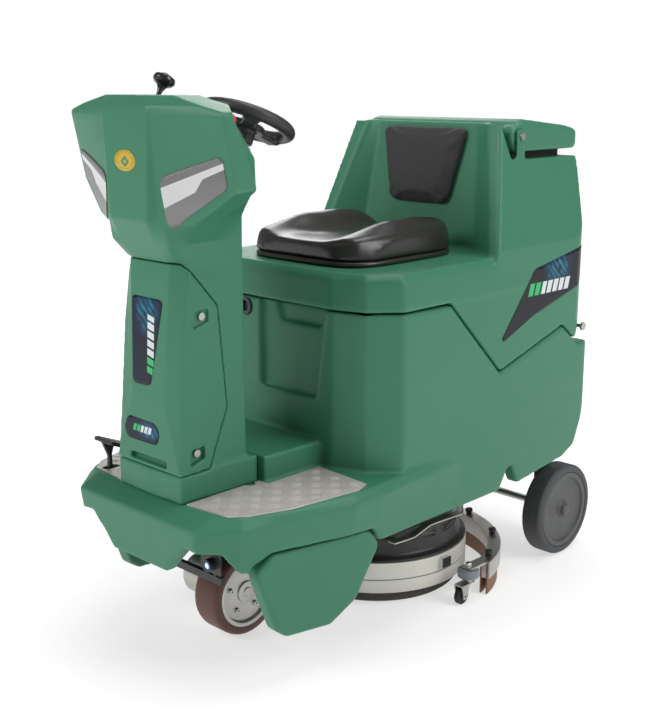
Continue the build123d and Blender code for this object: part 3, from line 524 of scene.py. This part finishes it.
# labels, all with made-up art
def makeArt(name, ground, glow, bars, tall=False):
    # glow: centre and size of the bloom; bars: start, end, middle, half height, lean and the green share
    f = Finish(name, ground, 0.4, Specular_IOR_Level=0.25)
    uv = f.place("UV")
    u, v, w = f.axes(uv)
    along, rise = (v, u) if tall else (u, v)
    near = (((u - glow[0]) / glow[2]).power(2) + ((v - glow[1]) / glow[3]).power(2))
    bloom = (1 - near).held()
    haze = ((f.noise(38, 4, 0.6, uv) - 0.34) * 2.4).held()
    base = f.blend(bloom * haze, ground, (0.004, 0.085, 0.30))
    veins = f.node("ShaderNodeTexWave", {"wave_type": "BANDS", "bands_direction": "DIAGONAL"},
                   {"Vector": uv, "Scale": 30.0, "Distortion": 5.5, "Detail": 1.0, "Detail Scale": 0.6}, 1)
    leaf = (veins > 0.62) * ((1.0 - near * 1.4).held()) * haze
    base = f.blend(leaf.held(), base, (0.01, 0.36, 0.22))
    run = along - rise * bars[4]
    band = abs(rise - bars[2]) < bars[3]
    cell = (run - bars[0]).wrapped(bars[3] * 1.7)
    stroke = (cell > bars[3] * 0.42) * band
    mark = stroke * (run > bars[0]) * (run < bars[1])
    green = run < bars[5]
    ink = f.blend(green, (0.60, 0.64, 0.64), (0.03, 0.42, 0.13))
    f.feed("Base Color", f.blend(mark.held(), base, ink))
    return f.material


sideArt = makeArt("sideArt", (0.005, 0.006, 0.011), (0.023, 0.046, 0.070, 0.050),
                  (-0.108, 0.082, 0.002, 0.0155, 0.30, -0.045))
coverArt = makeArt("coverArt", (0.004, 0.007, 0.020), (-0.006, 0.063, 0.045, 0.060),
                   (-0.070, 0.058, 0.008, 0.011, -0.25, -0.030), True)
pillArt = makeArt("pillArt", (0.004, 0.007, 0.020), (0.020, 0.004, 0.045, 0.022),
                  (-0.034, 0.030, 0.004, 0.0075, 0.3, -0.008))

sidePanel = [(221, 657), (224, 648), (337, 692), (567, 751), (572, 758), (584, 846), (575, 852), (351, 813)]
for side, word in ((1, "Left"), (-1, "Right")):
    flat = roundCorners([(side * (y - 430) / 1000, (z - 760) / 1000) for y, z in sidePanel], 0.007)
    across = (0, side, 0)
    sticker("sideLabel" + word, flat, (side * 0.306, 0.430, 0.760), across, (0, 0, 1), tankSkin, sideArt,
            "recovery", 0.0008)
tallLabel = roundCorners([(-0.058, 0.094), (0.047, 0.093), (0.010, -0.088), (0.0, -0.094), (-0.052, -0.095)], 0.014)
sticker("coverLabel", tallLabel, (0, -0.614, 0.737), (1, 0, 0), (0, 0.05, 1), coverSkin, coverArt,
        "chassis", 0.0007)
pill = roundCorners([(-0.058, 0.012), (-0.046, 0.026), (0.044, 0.024), (0.060, 0.006), (0.052, -0.022),
                     (-0.050, -0.024), (-0.062, -0.006)], 0.012)
sticker("coverPill", pill, (-0.020, -0.622, 0.541), (1, 0, 0), (0, 0, 1), coverSkin, pillArt,
        "chassis", 0.0007)

badgeLook = {"wide": 0.034, "high": 0.0215}


def makeBadge():
    f = Finish("badgeArt", (0.50, 0.32, 0.015), 0.45)
    u, v, w = f.axes(f.place("UV"))
    around = (u / badgeLook["wide"]).power(2) + (v / badgeLook["high"]).power(2)
    core = (around < 0.34)
    ring = (around > 0.50) * (around < 0.84)
    teeth = f.node("ShaderNodeTexNoise", None, {"Vector": f.place("UV"), "Scale": 420.0, "Detail": 1.0})
    leaf = core * (abs(abs(u) * 0.8 + abs(v + 0.002) - 0.008) < 0.0035)
    base = f.blend(ring * (teeth > 0.52) * 0.6, (0.52, 0.34, 0.02), (0.13, 0.15, 0.03))
    f.feed("Base Color", f.blend(leaf, base, (0.03, 0.20, 0.11)))
    return f.material


oval = []
for a in range(48):
    turn = a * math.pi / 24
    oval.append((badgeLook["wide"] * math.cos(turn), badgeLook["high"] * math.sin(turn)))
sticker("roundBadge", oval, (-0.001, -0.654, 1.114), (1, 0, 0), (0, 0, 1), columnSkin, makeBadge(),
        "chassis", 0.0007)
print("labels set")


# tread plates: raised bars in groups of four, kept clear of the pedal and the column foot
plateBars = {"top": 0.407, "cell": 0.030, "pitch": 0.0066, "length": 0.0255, "width": 0.0023, "rise": 0.0011,
             "margin": 0.004, "pedal": (-0.201, -0.582, 0.032), "foot": (0.113, -0.440, 0.026),
             "outline": [(113, -616), (228, -603), (254, -572), (288, -480), (313, -300), (300, -262),
                         (142, -250), (142, -411), (113, -411)]}


def inside(point, outline, margin):
    hit = False
    for (x1, y1), (x2, y2) in zip(outline, outline[1:] + outline[:1]):
        if (y1 > point[1]) != (y2 > point[1]) and point[0] < (x2 - x1) * (point[1] - y1) / (y2 - y1) + x1:
            hit = not hit
        edge = Vector((x2 - x1, y2 - y1))
        t = max(0, min(1, Vector((point[0] - x1, point[1] - y1)).dot(edge) / edge.length_squared))
        if (Vector((x1, y1)) + edge * t - Vector(point)).length < margin:
            return False
    return hit


def treadBars(side, word):
    outline = [(side * x / 1000, y / 1000) for x, y in plateBars["outline"]]
    low = plateBars["top"]
    cell = plateBars["cell"]
    pedalX, pedalY, pedalGap = plateBars["pedal"]
    footX, footY, footGap = plateBars["foot"]
    points, faces = [], []
    for i in range(-14, 15):
        for j in range(-26, -4):
            angle = math.radians(45 if (i + j) % 2 else -45)
            along = Vector((math.cos(angle), math.sin(angle)))
            step = Vector((-along.y, along.x))
            for k in (-1.5, -0.5, 0.5, 1.5):
                centre = Vector(((i + 0.5) * cell, (j + 0.5) * cell)) + step * k * plateBars["pitch"]
                reach = plateBars["length"] / 2 * (1 - 0.16 * abs(k))
                ends = [centre + along * reach, centre - along * reach]
                if not all(inside(e, outline, plateBars["margin"]) for e in ends):
                    continue
                if side < 0 and (centre - Vector((pedalX, pedalY))).length < pedalGap:
                    continue
                if (centre - Vector((side * footX, footY))).length < footGap:
                    continue
                first = len(points)
                ring = []
                for a in range(12):
                    turn = math.pi * a / 6
                    half = plateBars["width"] / 2 * (1 - 0.25 * abs(math.cos(turn)))
                    ring.append((math.cos(turn) * reach, math.sin(turn) * half))
                for scale, height in ((1.0, 0.0), (0.82, plateBars["rise"] * 0.75), (0.5, plateBars["rise"])):
                    for p, q in ring:
                        spot = centre + along * p * (0.4 + 0.6 * scale) + step * q * scale
                        points.append((spot.x, spot.y, low + height))
                for layer in range(2):
                    for a in range(12):
                        b = (a + 1) % 12
                        faces.append((first + layer * 12 + a, first + layer * 12 + b,
                                      first + layer * 12 + 12 + b, first + layer * 12 + 12 + a))
                faces.append(tuple(first + 24 + a for a in range(12)))
    return fromLists("treadBars" + word, points, faces, "chassis", tread)


for side, word in ((1, "Left"), (-1, "Right")):
    treadBars(side, word)
print("tread plates barred")


# wheels
rearWheel = {"axle": (0.545, 0.125), "inner": 0.246}


def rearWheelPieces(side, word):
    low = word.lower()
    centre = (side * rearWheel["inner"], *rearWheel["axle"])
    tyreLine = [(0.1036, 0.0008), (0.108, 0.0005), (0.117, 0.0012), (0.1222, 0.0035), (0.1246, 0.0075)]
    for k in range(5):
        y = 0.011 + k * 0.0085
        tyreLine += [(0.1250, y), (0.1250, y + 0.0058), (0.1244, y + 0.0066), (0.1244, y + 0.0077)]
    tyreLine += [(0.1246, 0.0530), (0.1222, 0.0566), (0.117, 0.0590), (0.1075, 0.0596), (0.1055, 0.0590),
                 (0.1046, 0.0570), (0.1036, 0.0560)]
    tyre = lathe("rearTyre" + word, tyreLine, centre, (side, 0, 0), "rear_wheel_" + low, tyreRubber, 128)
    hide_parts("rear_tyre_" + low)
    rimLine = [(0.0001, 0.0655), (0.010, 0.0652), (0.0145, 0.0636), (0.0165, 0.0605), (0.0170, 0.0560),
               (0.0215, 0.0545), (0.0235, 0.0530), (0.0250, 0.0515), (0.060, 0.0512), (0.0855, 0.0518),
               (0.0875, 0.0530), (0.0890, 0.0566), (0.0905, 0.0580), (0.1000, 0.0586), (0.1030, 0.0580),
               (0.1040, 0.0560), (0.1040, 0.004), (0.100, 0.002), (0.030, 0.002), (0.024, 0.0), (0.0105, 0.0)]
    rim = lathe("rearRim" + word, rimLine, centre, (side, 0, 0), "rear_wheel_" + low, rimGrey, 128)
    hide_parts("rear_rim_" + low)


for side, word in ((1, "Left"), (-1, "Right")):
    rearWheelPieces(side, word)

driveCentre = (0, -0.380, 0.104)
driveTyreHalf = [(0.083, 0.0385), (0.084, 0.0392), (0.094, 0.0392), (0.0985, 0.0380), (0.1022, 0.0345),
                 (0.1038, 0.0290), (0.1040, 0.0200)]
driveTyreLine = driveTyreHalf + [(r, -h) for r, h in reversed(driveTyreHalf)]
driveTyre = lathe("driveTyre", driveTyreLine, driveCentre, (1, 0, 0), "drive_wheel", driveRubber, 128)
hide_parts("drive_tyre")
hubLine = [(0.0001, 0.0350), (0.010, 0.0350), (0.012, 0.0330), (0.024, 0.0330), (0.026, 0.0320), (0.0265, 0.0280),
           (0.030, 0.0272), (0.068, 0.0272), (0.0705, 0.0285), (0.0735, 0.0385), (0.0755, 0.0395), (0.0815, 0.0395),
           (0.0830, 0.0385), (0.0830, -0.0385), (0.030, -0.039), (0.0295, -0.048), (0.0118, -0.048), (0.0118, -0.080)]
driveHub = lathe("driveHub", hubLine, driveCentre, (1, 0, 0), "drive_wheel", castAlloy, 128)
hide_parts("drive_hub")


def screwHeads(name, centres, axis, radius, height, body, finish, sides=6):
    axis = Vector(axis).normalized()
    side = Vector((0, 0, 1)) if abs(axis.z) < 0.5 else Vector((1, 0, 0))
    other = axis.cross(side)
    points, faces = [], []
    for centre in centres:
        for scale, rise in ((1.0, 0.0), (1.0, height * 0.8), (0.86, height), (0.45, height), (0.40, height * 0.55)):
            for k in range(sides * 4):
                turn = 2 * math.pi * k / (sides * 4)
                off = (turn % (math.pi / sides * 2)) - math.pi / sides
                flat = 1.0 if scale < 0.6 else 1 / max(abs(math.cos(off)), 0.1) * 0.93
                arm = side * math.cos(turn) + other * math.sin(turn)
                points.append(Vector(centre) + arm * radius * scale * flat + axis * rise)
        count = sides * 4
        first = len(points) - 5 * count
        for layer in range(4):
            for k in range(count):
                j = (k + 1) % count
                faces.append((first + layer * count + k, first + layer * count + j,
                              first + (layer + 1) * count + j, first + (layer + 1) * count + k))
        faces.append(tuple(first + 4 * count + k for k in range(count)))
    piece = fromLists(name, points, faces, body, finish, False)
    return piece


hubScrews = []
for k in range(5):
    turn = math.radians(72 * k + 18)
    hubScrews.append((0.0272, driveCentre[1] + 0.048 * math.cos(turn), driveCentre[2] + 0.048 * math.sin(turn)))
screwHeads("hubScrews", hubScrews, (1, 0, 0), 0.0062, 0.0055, "drive_wheel", steel)
print("wheels turned")


# seat, swollen like a foam-filled skin
seatForm = {"halfWidth": 0.186, "front": -0.176, "rear": 0.206, "base": 0.8705, "cap": 0.007, "pressure": 4.0}


def seatHeight(u, v):
    # u runs -1..1 across, v runs 0 at the front to 1 at the rear
    start = min(1, max(0, v / 0.46))
    climb = start * start * (3 - 2 * start)
    fall = max(0, (v - 0.62) / 0.38)
    crest = (0.008 + 0.040 * climb) * (1 - 0.42 * fall * fall)
    bolster = math.exp(-((abs(u) - 0.70) / 0.25) ** 2) + 0.18 * math.exp(-((abs(u) - 0.95) / 0.2) ** 2)
    centre = 0.034 + 0.007 * math.exp(-((v - 0.10) / 0.16) ** 2) - 0.004 * math.exp(-((v - 0.55) / 0.25) ** 2)
    return centre + crest * bolster


def seatMesh():
    across, along = 56, 56
    points, faces = [], []
    form = seatForm
    for j in range(along + 1):
        for i in range(across + 1):
            s, t = 2 * i / across - 1, 2 * j / along - 1
            # squircle plan, so the corners are round
            x = s * math.sqrt(max(0, 1 - 0.36 * t * t))
            y = t * math.sqrt(max(0, 1 - 0.36 * s * s))
            x /= math.sqrt(1 - 0.36 * 0.55)
            y /= math.sqrt(1 - 0.36 * 0.55)
            x, y = max(-1, min(1, x)), max(-1, min(1, y))
            edge = min(1 - abs(s), 1 - abs(t))
            wall = 1 - (1 - min(1, edge / 0.16)) ** 3.2
            depth = (form["rear"] - form["front"]) / 2
            height = seatHeight(x, (y + 1) / 2) * wall
            points.append((x * form["halfWidth"], (form["front"] + form["rear"]) / 2 + y * depth,
                           form["base"] + height))
    rows = across + 1
    for j in range(along):
        for i in range(across):
            faces.append((j * rows + i, j * rows + i + 1, (j + 1) * rows + i + 1, (j + 1) * rows + i))
    rim = [j * rows + i for j, i in
           [(0, i) for i in range(across)] + [(j, across) for j in range(along)] +
           [(along, i) for i in range(across, 0, -1)] + [(j, 0) for j in range(along, 0, -1)]]
    faces.append(tuple(reversed(rim)))
    return points, faces


def swell(piece, voxel, cap, pressure, pinned):
    remesh = piece.modifiers.new("remesh", "REMESH")
    remesh.mode = "VOXEL"
    remesh.voxel_size = voxel
    settle(piece)
    start = [v.co.copy() for v in piece.data.vertices]
    cloth = piece.modifiers.new("cloth", "CLOTH")
    cloth.settings.use_pressure = True
    cloth.settings.uniform_pressure_force = pressure
    cloth.settings.effector_weights.gravity = 0
    cloth.settings.quality = 6
    cloth.point_cache.frame_start = 1
    cloth.point_cache.frame_end = 20
    held = piece.vertex_groups.new(name="held")
    held.add([i for i, p in enumerate(start) if pinned(p)], 1.0, "REPLACE")
    cloth.settings.vertex_group_mass = "held"
    for now in range(1, 21):
        bpy.context.scene.frame_set(now)
    settle(piece)
    bpy.context.scene.frame_set(1)
    for vertex, was in zip(piece.data.vertices, start):
        move = vertex.co - was
        if move.length > cap:
            vertex.co = was + move.normalized() * cap
    soften = piece.modifiers.new("soften", "SMOOTH")
    soften.factor = 0.5
    soften.iterations = 5
    finer = piece.modifiers.new("finer", "SUBSURF")
    finer.levels = finer.render_levels = 1
    settle(piece)
    for face in piece.data.polygons:
        face.use_smooth = True
    return piece


seatPoints, seatFaces = seatMesh()
seat = fromLists("seatCushion", seatPoints, seatFaces, "recovery", vinyl)
swell(seat, 0.005, seatForm["cap"], seatForm["pressure"], lambda p: p.z < seatForm["base"] + 0.005)
seat.data.materials.clear()
seat.data.materials.append(vinyl)
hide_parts("seat_cushion")

backForm = {"plane": (0, 0.2688, 0.963), "lean": (43, 318), "low": 0.096, "high": 0.138, "tall": 0.194,
            "cap": 0.006, "pressure": 3.5}
backUp = Vector((0, *backForm["lean"])).normalized()
backOut = Vector((0, -backUp.z, backUp.y))


def backPad():
    outline = roundCorners([(-backForm["low"] + 0.002, 0.002), (backForm["low"] - 0.002, 0.002),
                            (backForm["high"] - 0.003, backForm["tall"] - 0.002),
                            (-backForm["high"] + 0.003, backForm["tall"] - 0.002)], 0.024, 8)
    middle = sum((Vector(p) for p in outline), Vector((0, 0))) / len(outline)
    points, faces = [], []
    layers = [(1.0, 0.0006), (1.0, 0.012), (0.985, 0.018), (0.955, 0.021), (0.80, 0.0215), (0.4, 0.022)]
    for scale, depth in layers:
        for p in outline:
            spot = middle + (Vector(p) - middle) * scale
            here = Vector(backForm["plane"]) + Vector((1, 0, 0)) * spot.x
            points.append(here + backUp * spot.y + backOut * depth)
    n = len(outline)
    for layer in range(len(layers) - 1):
        for k in range(n):
            j = (k + 1) % n
            faces.append((layer * n + k, layer * n + j, (layer + 1) * n + j, (layer + 1) * n + k))
    faces.append(tuple(range(n)))
    faces.append(tuple((len(layers) - 1) * n + k for k in range(n)))
    return fromLists("backrestPad", points, faces, "recovery", foam)


pad = backPad()
swell(pad, 0.004, backForm["cap"], backForm["pressure"],
      lambda p: (p - Vector(backForm["plane"])).dot(backOut) < 0.006)
pad.data.materials.clear()
pad.data.materials.append(foam)
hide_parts("backrest_pad")


# seat lip, a flared edge with a thin welt
lipForm = {"half": (0.1815, 0.1905), "middle": 0.015, "base": 0.8575, "corner": 0.42, "steps": 160}


def seatLip():
    line = [(0.0, 0.0), (0.004, 0.0), (0.008, 0.002), (0.0095, 0.006), (0.0085, 0.010), (0.005, 0.0125),
            (0.001, 0.013), (-0.003, 0.0122), (-0.007, 0.0150), (-0.014, 0.0160)]
    steps = lipForm["steps"]
    points, faces = [], []
    plan = []
    for k in range(steps):
        turn = 2 * math.pi * k / steps
        c, s = math.cos(turn), math.sin(turn)
        x = math.copysign(abs(c) ** lipForm["corner"], c) * lipForm["half"][0]
        y = math.copysign(abs(s) ** lipForm["corner"], s) * lipForm["half"][1]
        plan.append(Vector((x, y + lipForm["middle"])))
    for k, here in enumerate(plan):
        tangent = (plan[(k + 1) % steps] - plan[k - 1]).normalized()
        outward = Vector((tangent.y, -tangent.x))
        for r, h in line:
            spot = here + outward * r
            points.append((spot.x, spot.y, lipForm["base"] + h))
    n = len(line)
    for k in range(steps):
        j = (k + 1) % steps
        for i in range(n - 1):
            faces.append((k * n + i, k * n + i + 1, j * n + i + 1, j * n + i))
    faces.append(tuple(k * n + n - 1 for k in range(steps)))
    faces.append(tuple(k * n for k in range(steps)))
    return fromLists("seatLip", points, faces, "recovery", vinyl)


lip = seatLip()
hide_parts("seat_trim")
print("seat made")


# steering wheel, lever and small controls
wheelSkin = mouldedSkin("steeringRim", ["steering_wheel"], 0.0026, 8, blackPlastic)
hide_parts("steering_wheel")
leverSkin = mouldedSkin("leverKnob", ["direction_lever"], 0.0012, 9, glossBlack)
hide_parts("direction_lever")
bootSkin = mouldedSkin("leverBoot", ["lever_boot"], 0.0012, 6, blackRubber)
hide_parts("lever_boot")
pedalSkin = mouldedSkin("pedalPad", ["accelerator_pedal"], 0.0018, 4, blackPlastic)
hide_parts("accelerator_pedal")
for name, finish in {
    "steering_shaft": whitePlastic, "dash_panel": blackPlastic, "ignition_key": zinc, "stop_button": redPlastic,
    "mode_button": greyPlastic, "water_button": greyPlastic, "tread_plate_left": tread, "tread_plate_right": tread,
    "chassis_frame": framePaint, "cover_bolts": zinc, "batteries": batteryCase, "charge_socket": blackPlastic,
    "rear_axle": steel, "lamp_bracket": framePaint, "lamp_lens": lens, "lift_actuator": charcoal,
    "suction_hose": hoseRubber, "drive_fork": framePaint, "drive_motor": castAlloy, "lid_seal": blackRubber,
    "suction_motor": charcoal, "tank_hinge_bolts": zinc, "lid_hinge_bolts": zinc, "deck_ring": ivory,
    "brush_motor": charcoal, "actuator_rod": steel, "brush_disc": blackPlastic, "brush_bristles": bristle,
    "squeegee_carrier": zinc, "squeegee_frame": castAlloy, "squeegee_blades": bladeRubber,
    "bumper_roller_left": rollerGrey, "bumper_roller_right": rollerGrey, "caster_fork_left": zinc,
    "caster_fork_right": zinc, "caster_wheel_left": blackRubber, "caster_wheel_right": blackRubber,
}.items():
    dressed(name, finish)


def band(name, outer, inner, low, high, bottom, top, body, finish, slotName):
    points, faces = [], []
    steps = 96
    for k in range(steps + 1):
        turn = math.radians(low + (high - low) * k / steps)
        for radius, height in ((outer, bottom), (outer, top), (inner, top), (inner, bottom)):
            points.append((radius * math.cos(turn), 0.105 + radius * math.sin(turn), height))
    for k in range(steps):
        for i in range(4):
            j = (i + 1) % 4
            faces.append((k * 4 + i, k * 4 + j, k * 4 + 4 + j, k * 4 + 4 + i))
    faces += [(0, 1, 2, 3), tuple(steps * 4 + i for i in range(4))]
    piece = fromLists(name, points, faces, body, finish, False)
    edge = piece.modifiers.new("edge", "BEVEL")
    edge.width = 0.0006
    edge.segments = 2
    return settle(piece)


def strip(name, line, width, thick, across, body, finish):
    across = Vector(across).normalized()
    points, faces = [], []
    line = [Vector(p) for p in line]
    for k, here in enumerate(line):
        along = (line[min(k + 1, len(line) - 1)] - line[max(k - 1, 0)]).normalized()
        out = along.cross(across).normalized()
        for a, b in ((-1, -1), (1, -1), (1, 1), (-1, 1)):
            points.append(here + across * a * width / 2 + out * b * thick / 2)
    for k in range(len(line) - 1):
        for i in range(4):
            j = (i + 1) % 4
            faces.append((k * 4 + i, k * 4 + j, k * 4 + 4 + j, k * 4 + 4 + i))
    faces += [(0, 1, 2, 3), tuple(len(points) - 4 + i for i in range(4))]
    piece = fromLists(name, points, faces, body, finish, False)
    edge = piece.modifiers.new("edge", "BEVEL")
    edge.width = thick * 0.22
    edge.segments = 2
    return settle(piece)


# squeegee cheeks, clamp knobs and nuts over the rollers
band("squeegeeCheek", 0.3318, 0.3265, 12.5, 167.5, 0.046, 0.088, "squeegee", castAlloy, "cast_alu")
band("squeegeeInnerCheek", 0.3044, 0.3028, 13, 167, 0.044, 0.0858, "squeegee", castAlloy, "cast_alu")
knobRing = {"centre": 0.105, "radius": 0.315, "foot": 0.0921}
knobLine = [(0.0001, 0.0165), (0.006, 0.0162), (0.0088, 0.0150), (0.0098, 0.0125), (0.0098, 0.0070),
            (0.0075, 0.0052), (0.0050, 0.0045), (0.0050, 0.0015), (0.0085, 0.0012), (0.0085, 0.0)]
for number, angle in enumerate((19, 47, 75, 105, 133, 161)):
    turn = math.radians(angle)
    spot = (knobRing["radius"] * math.cos(turn), knobRing["centre"] + knobRing["radius"] * math.sin(turn),
            knobRing["foot"])
    lathe(f"clampKnob.{number}", knobLine, spot, (0, 0, 1), "squeegee", charcoal, 32)
screwHeads("rollerNuts", [(side * 0.300, 0.120, 0.0921) for side in (1, -1)], (0, 0, 1), 0.0085, 0.009, "squeegee",
           steel)
# bent strap over the shoulder of the brush cover
strapLine = [(0.217, -0.078, 0.189), (0.217, -0.040, 0.186), (0.217, -0.005, 0.184), (0.217, 0.025, 0.191),
             (0.217, 0.056, 0.198), (0.217, 0.095, 0.197), (0.217, 0.144, 0.194), (0.215, 0.190, 0.190)]
strip("deckStrap", strapLine, 0.022, 0.004, (1, 0, 0), "deck", castAlloy)
strip("deckLatch", [(0.2515, 0.079, 0.096), (0.2525, 0.094, 0.096), (0.2515, 0.109, 0.096)], 0.024, 0.004, (0, 0, 1),
      "deck", blackPlastic)
deckSkin = mouldedSkin("deckSkin", ["deck_cover"], 0.0032, 6, charcoal)
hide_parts("deck_cover")

# light, floor and camera
sun = {"side": (4.3, 1.3, 3.2, 2.6, 125), "front": (-1.6, -4.6, 3.4, 2.4, 150), "top": (0.4, 0.6, 4.6, 2.6, 90),
       "rim": (-3.2, 3.0, 3.0, 2.0, 45)}
for name, (x, y, z, size, power) in sun.items():
    lamp = bpy.data.lights.new(name + "Light", "AREA")
    lamp.shape = "SQUARE"
    lamp.size = size
    lamp.energy = power
    holder = bpy.data.objects.new(name + "Light", lamp)
    bpy.context.scene.collection.objects.link(holder)
    holder.location = (x, y, z)
    holder.rotation_euler = (Vector((0, 0, 0.6)) - Vector((x, y, z))).to_track_quat("-Z", "Y").to_euler()

# white backdrop in front of the camera, a dimmer room elsewhere
shot = {"from": (1.905, -2.043, 1.267), "azimuth": 43.868, "down": 13.484, "lens": 57.97}
turn, fall = math.radians(shot["azimuth"]), math.radians(shot["down"])
look = Vector((-math.sin(turn) * math.cos(fall), math.cos(turn) * math.cos(fall), -math.sin(fall)))
room = {"dim": 0.20, "bright": 1.0, "from": 0.80, "to": 0.92}
world = bpy.data.worlds.new("studio")
world.use_nodes = True
tree = world.node_tree
spot = tree.nodes.new("ShaderNodeTexCoord")
facing = tree.nodes.new("ShaderNodeVectorMath")
facing.operation = "DOT_PRODUCT"
facing.inputs[1].default_value = look
spread = tree.nodes.new("ShaderNodeMapRange")
spread.interpolation_type = "SMOOTHSTEP"
for key, value in {"From Min": "from", "From Max": "to", "To Min": "dim", "To Max": "bright"}.items():
    spread.inputs[key].default_value = room[value]
tree.links.new(spot.outputs["Generated"], facing.inputs[0])
tree.links.new(facing.outputs["Value"], spread.inputs["Value"])
tree.links.new(spread.outputs["Result"], tree.nodes["Background"].inputs["Strength"])
tree.nodes["Background"].inputs["Color"].default_value = (1, 1, 1, 1)
bpy.context.scene.world = world
bpy.context.scene.view_settings.view_transform = "Standard"

floorSize = {"half": 14, "level": -0.0005}
corners = [(x * floorSize["half"], y * floorSize["half"], floorSize["level"])
           for x, y in ((-1, -1), (1, -1), (1, 1), (-1, 1))]
floorMesh = bpy.data.meshes.new("studioFloor")
floorMesh.from_pydata(corners, [], [(0, 1, 2, 3)])
floor = bpy.data.objects.new("studioFloor", floorMesh)
bpy.context.scene.collection.objects.link(floor)
floorPaint = Finish("floorPaint", (0.50, 0.50, 0.50), 0.9, Specular_IOR_Level=0.05, Emission_Strength=0.95)
aside, along, above = floorPaint.axes(floorPaint.place())
farOff = (((aside * aside + along * along).power(0.5) - 0.6) * 0.6).held()
floorPaint.feed("Emission Color", floorPaint.blend(farOff, (0.60, 0.60, 0.60), (1, 1, 1)))
floorMesh.materials.append(floorPaint.material)

camera = bpy.data.cameras.new("camera")
camera.lens = shot["lens"]
camera.sensor_width = 36
camera.dof.use_dof = False
eye = bpy.data.objects.new("camera", camera)
bpy.context.scene.collection.objects.link(eye)
eye.location = shot["from"]
eye.rotation_euler = look.to_track_quat("-Z", "Y").to_euler()
bpy.context.scene.camera = eye

print("scene ready")
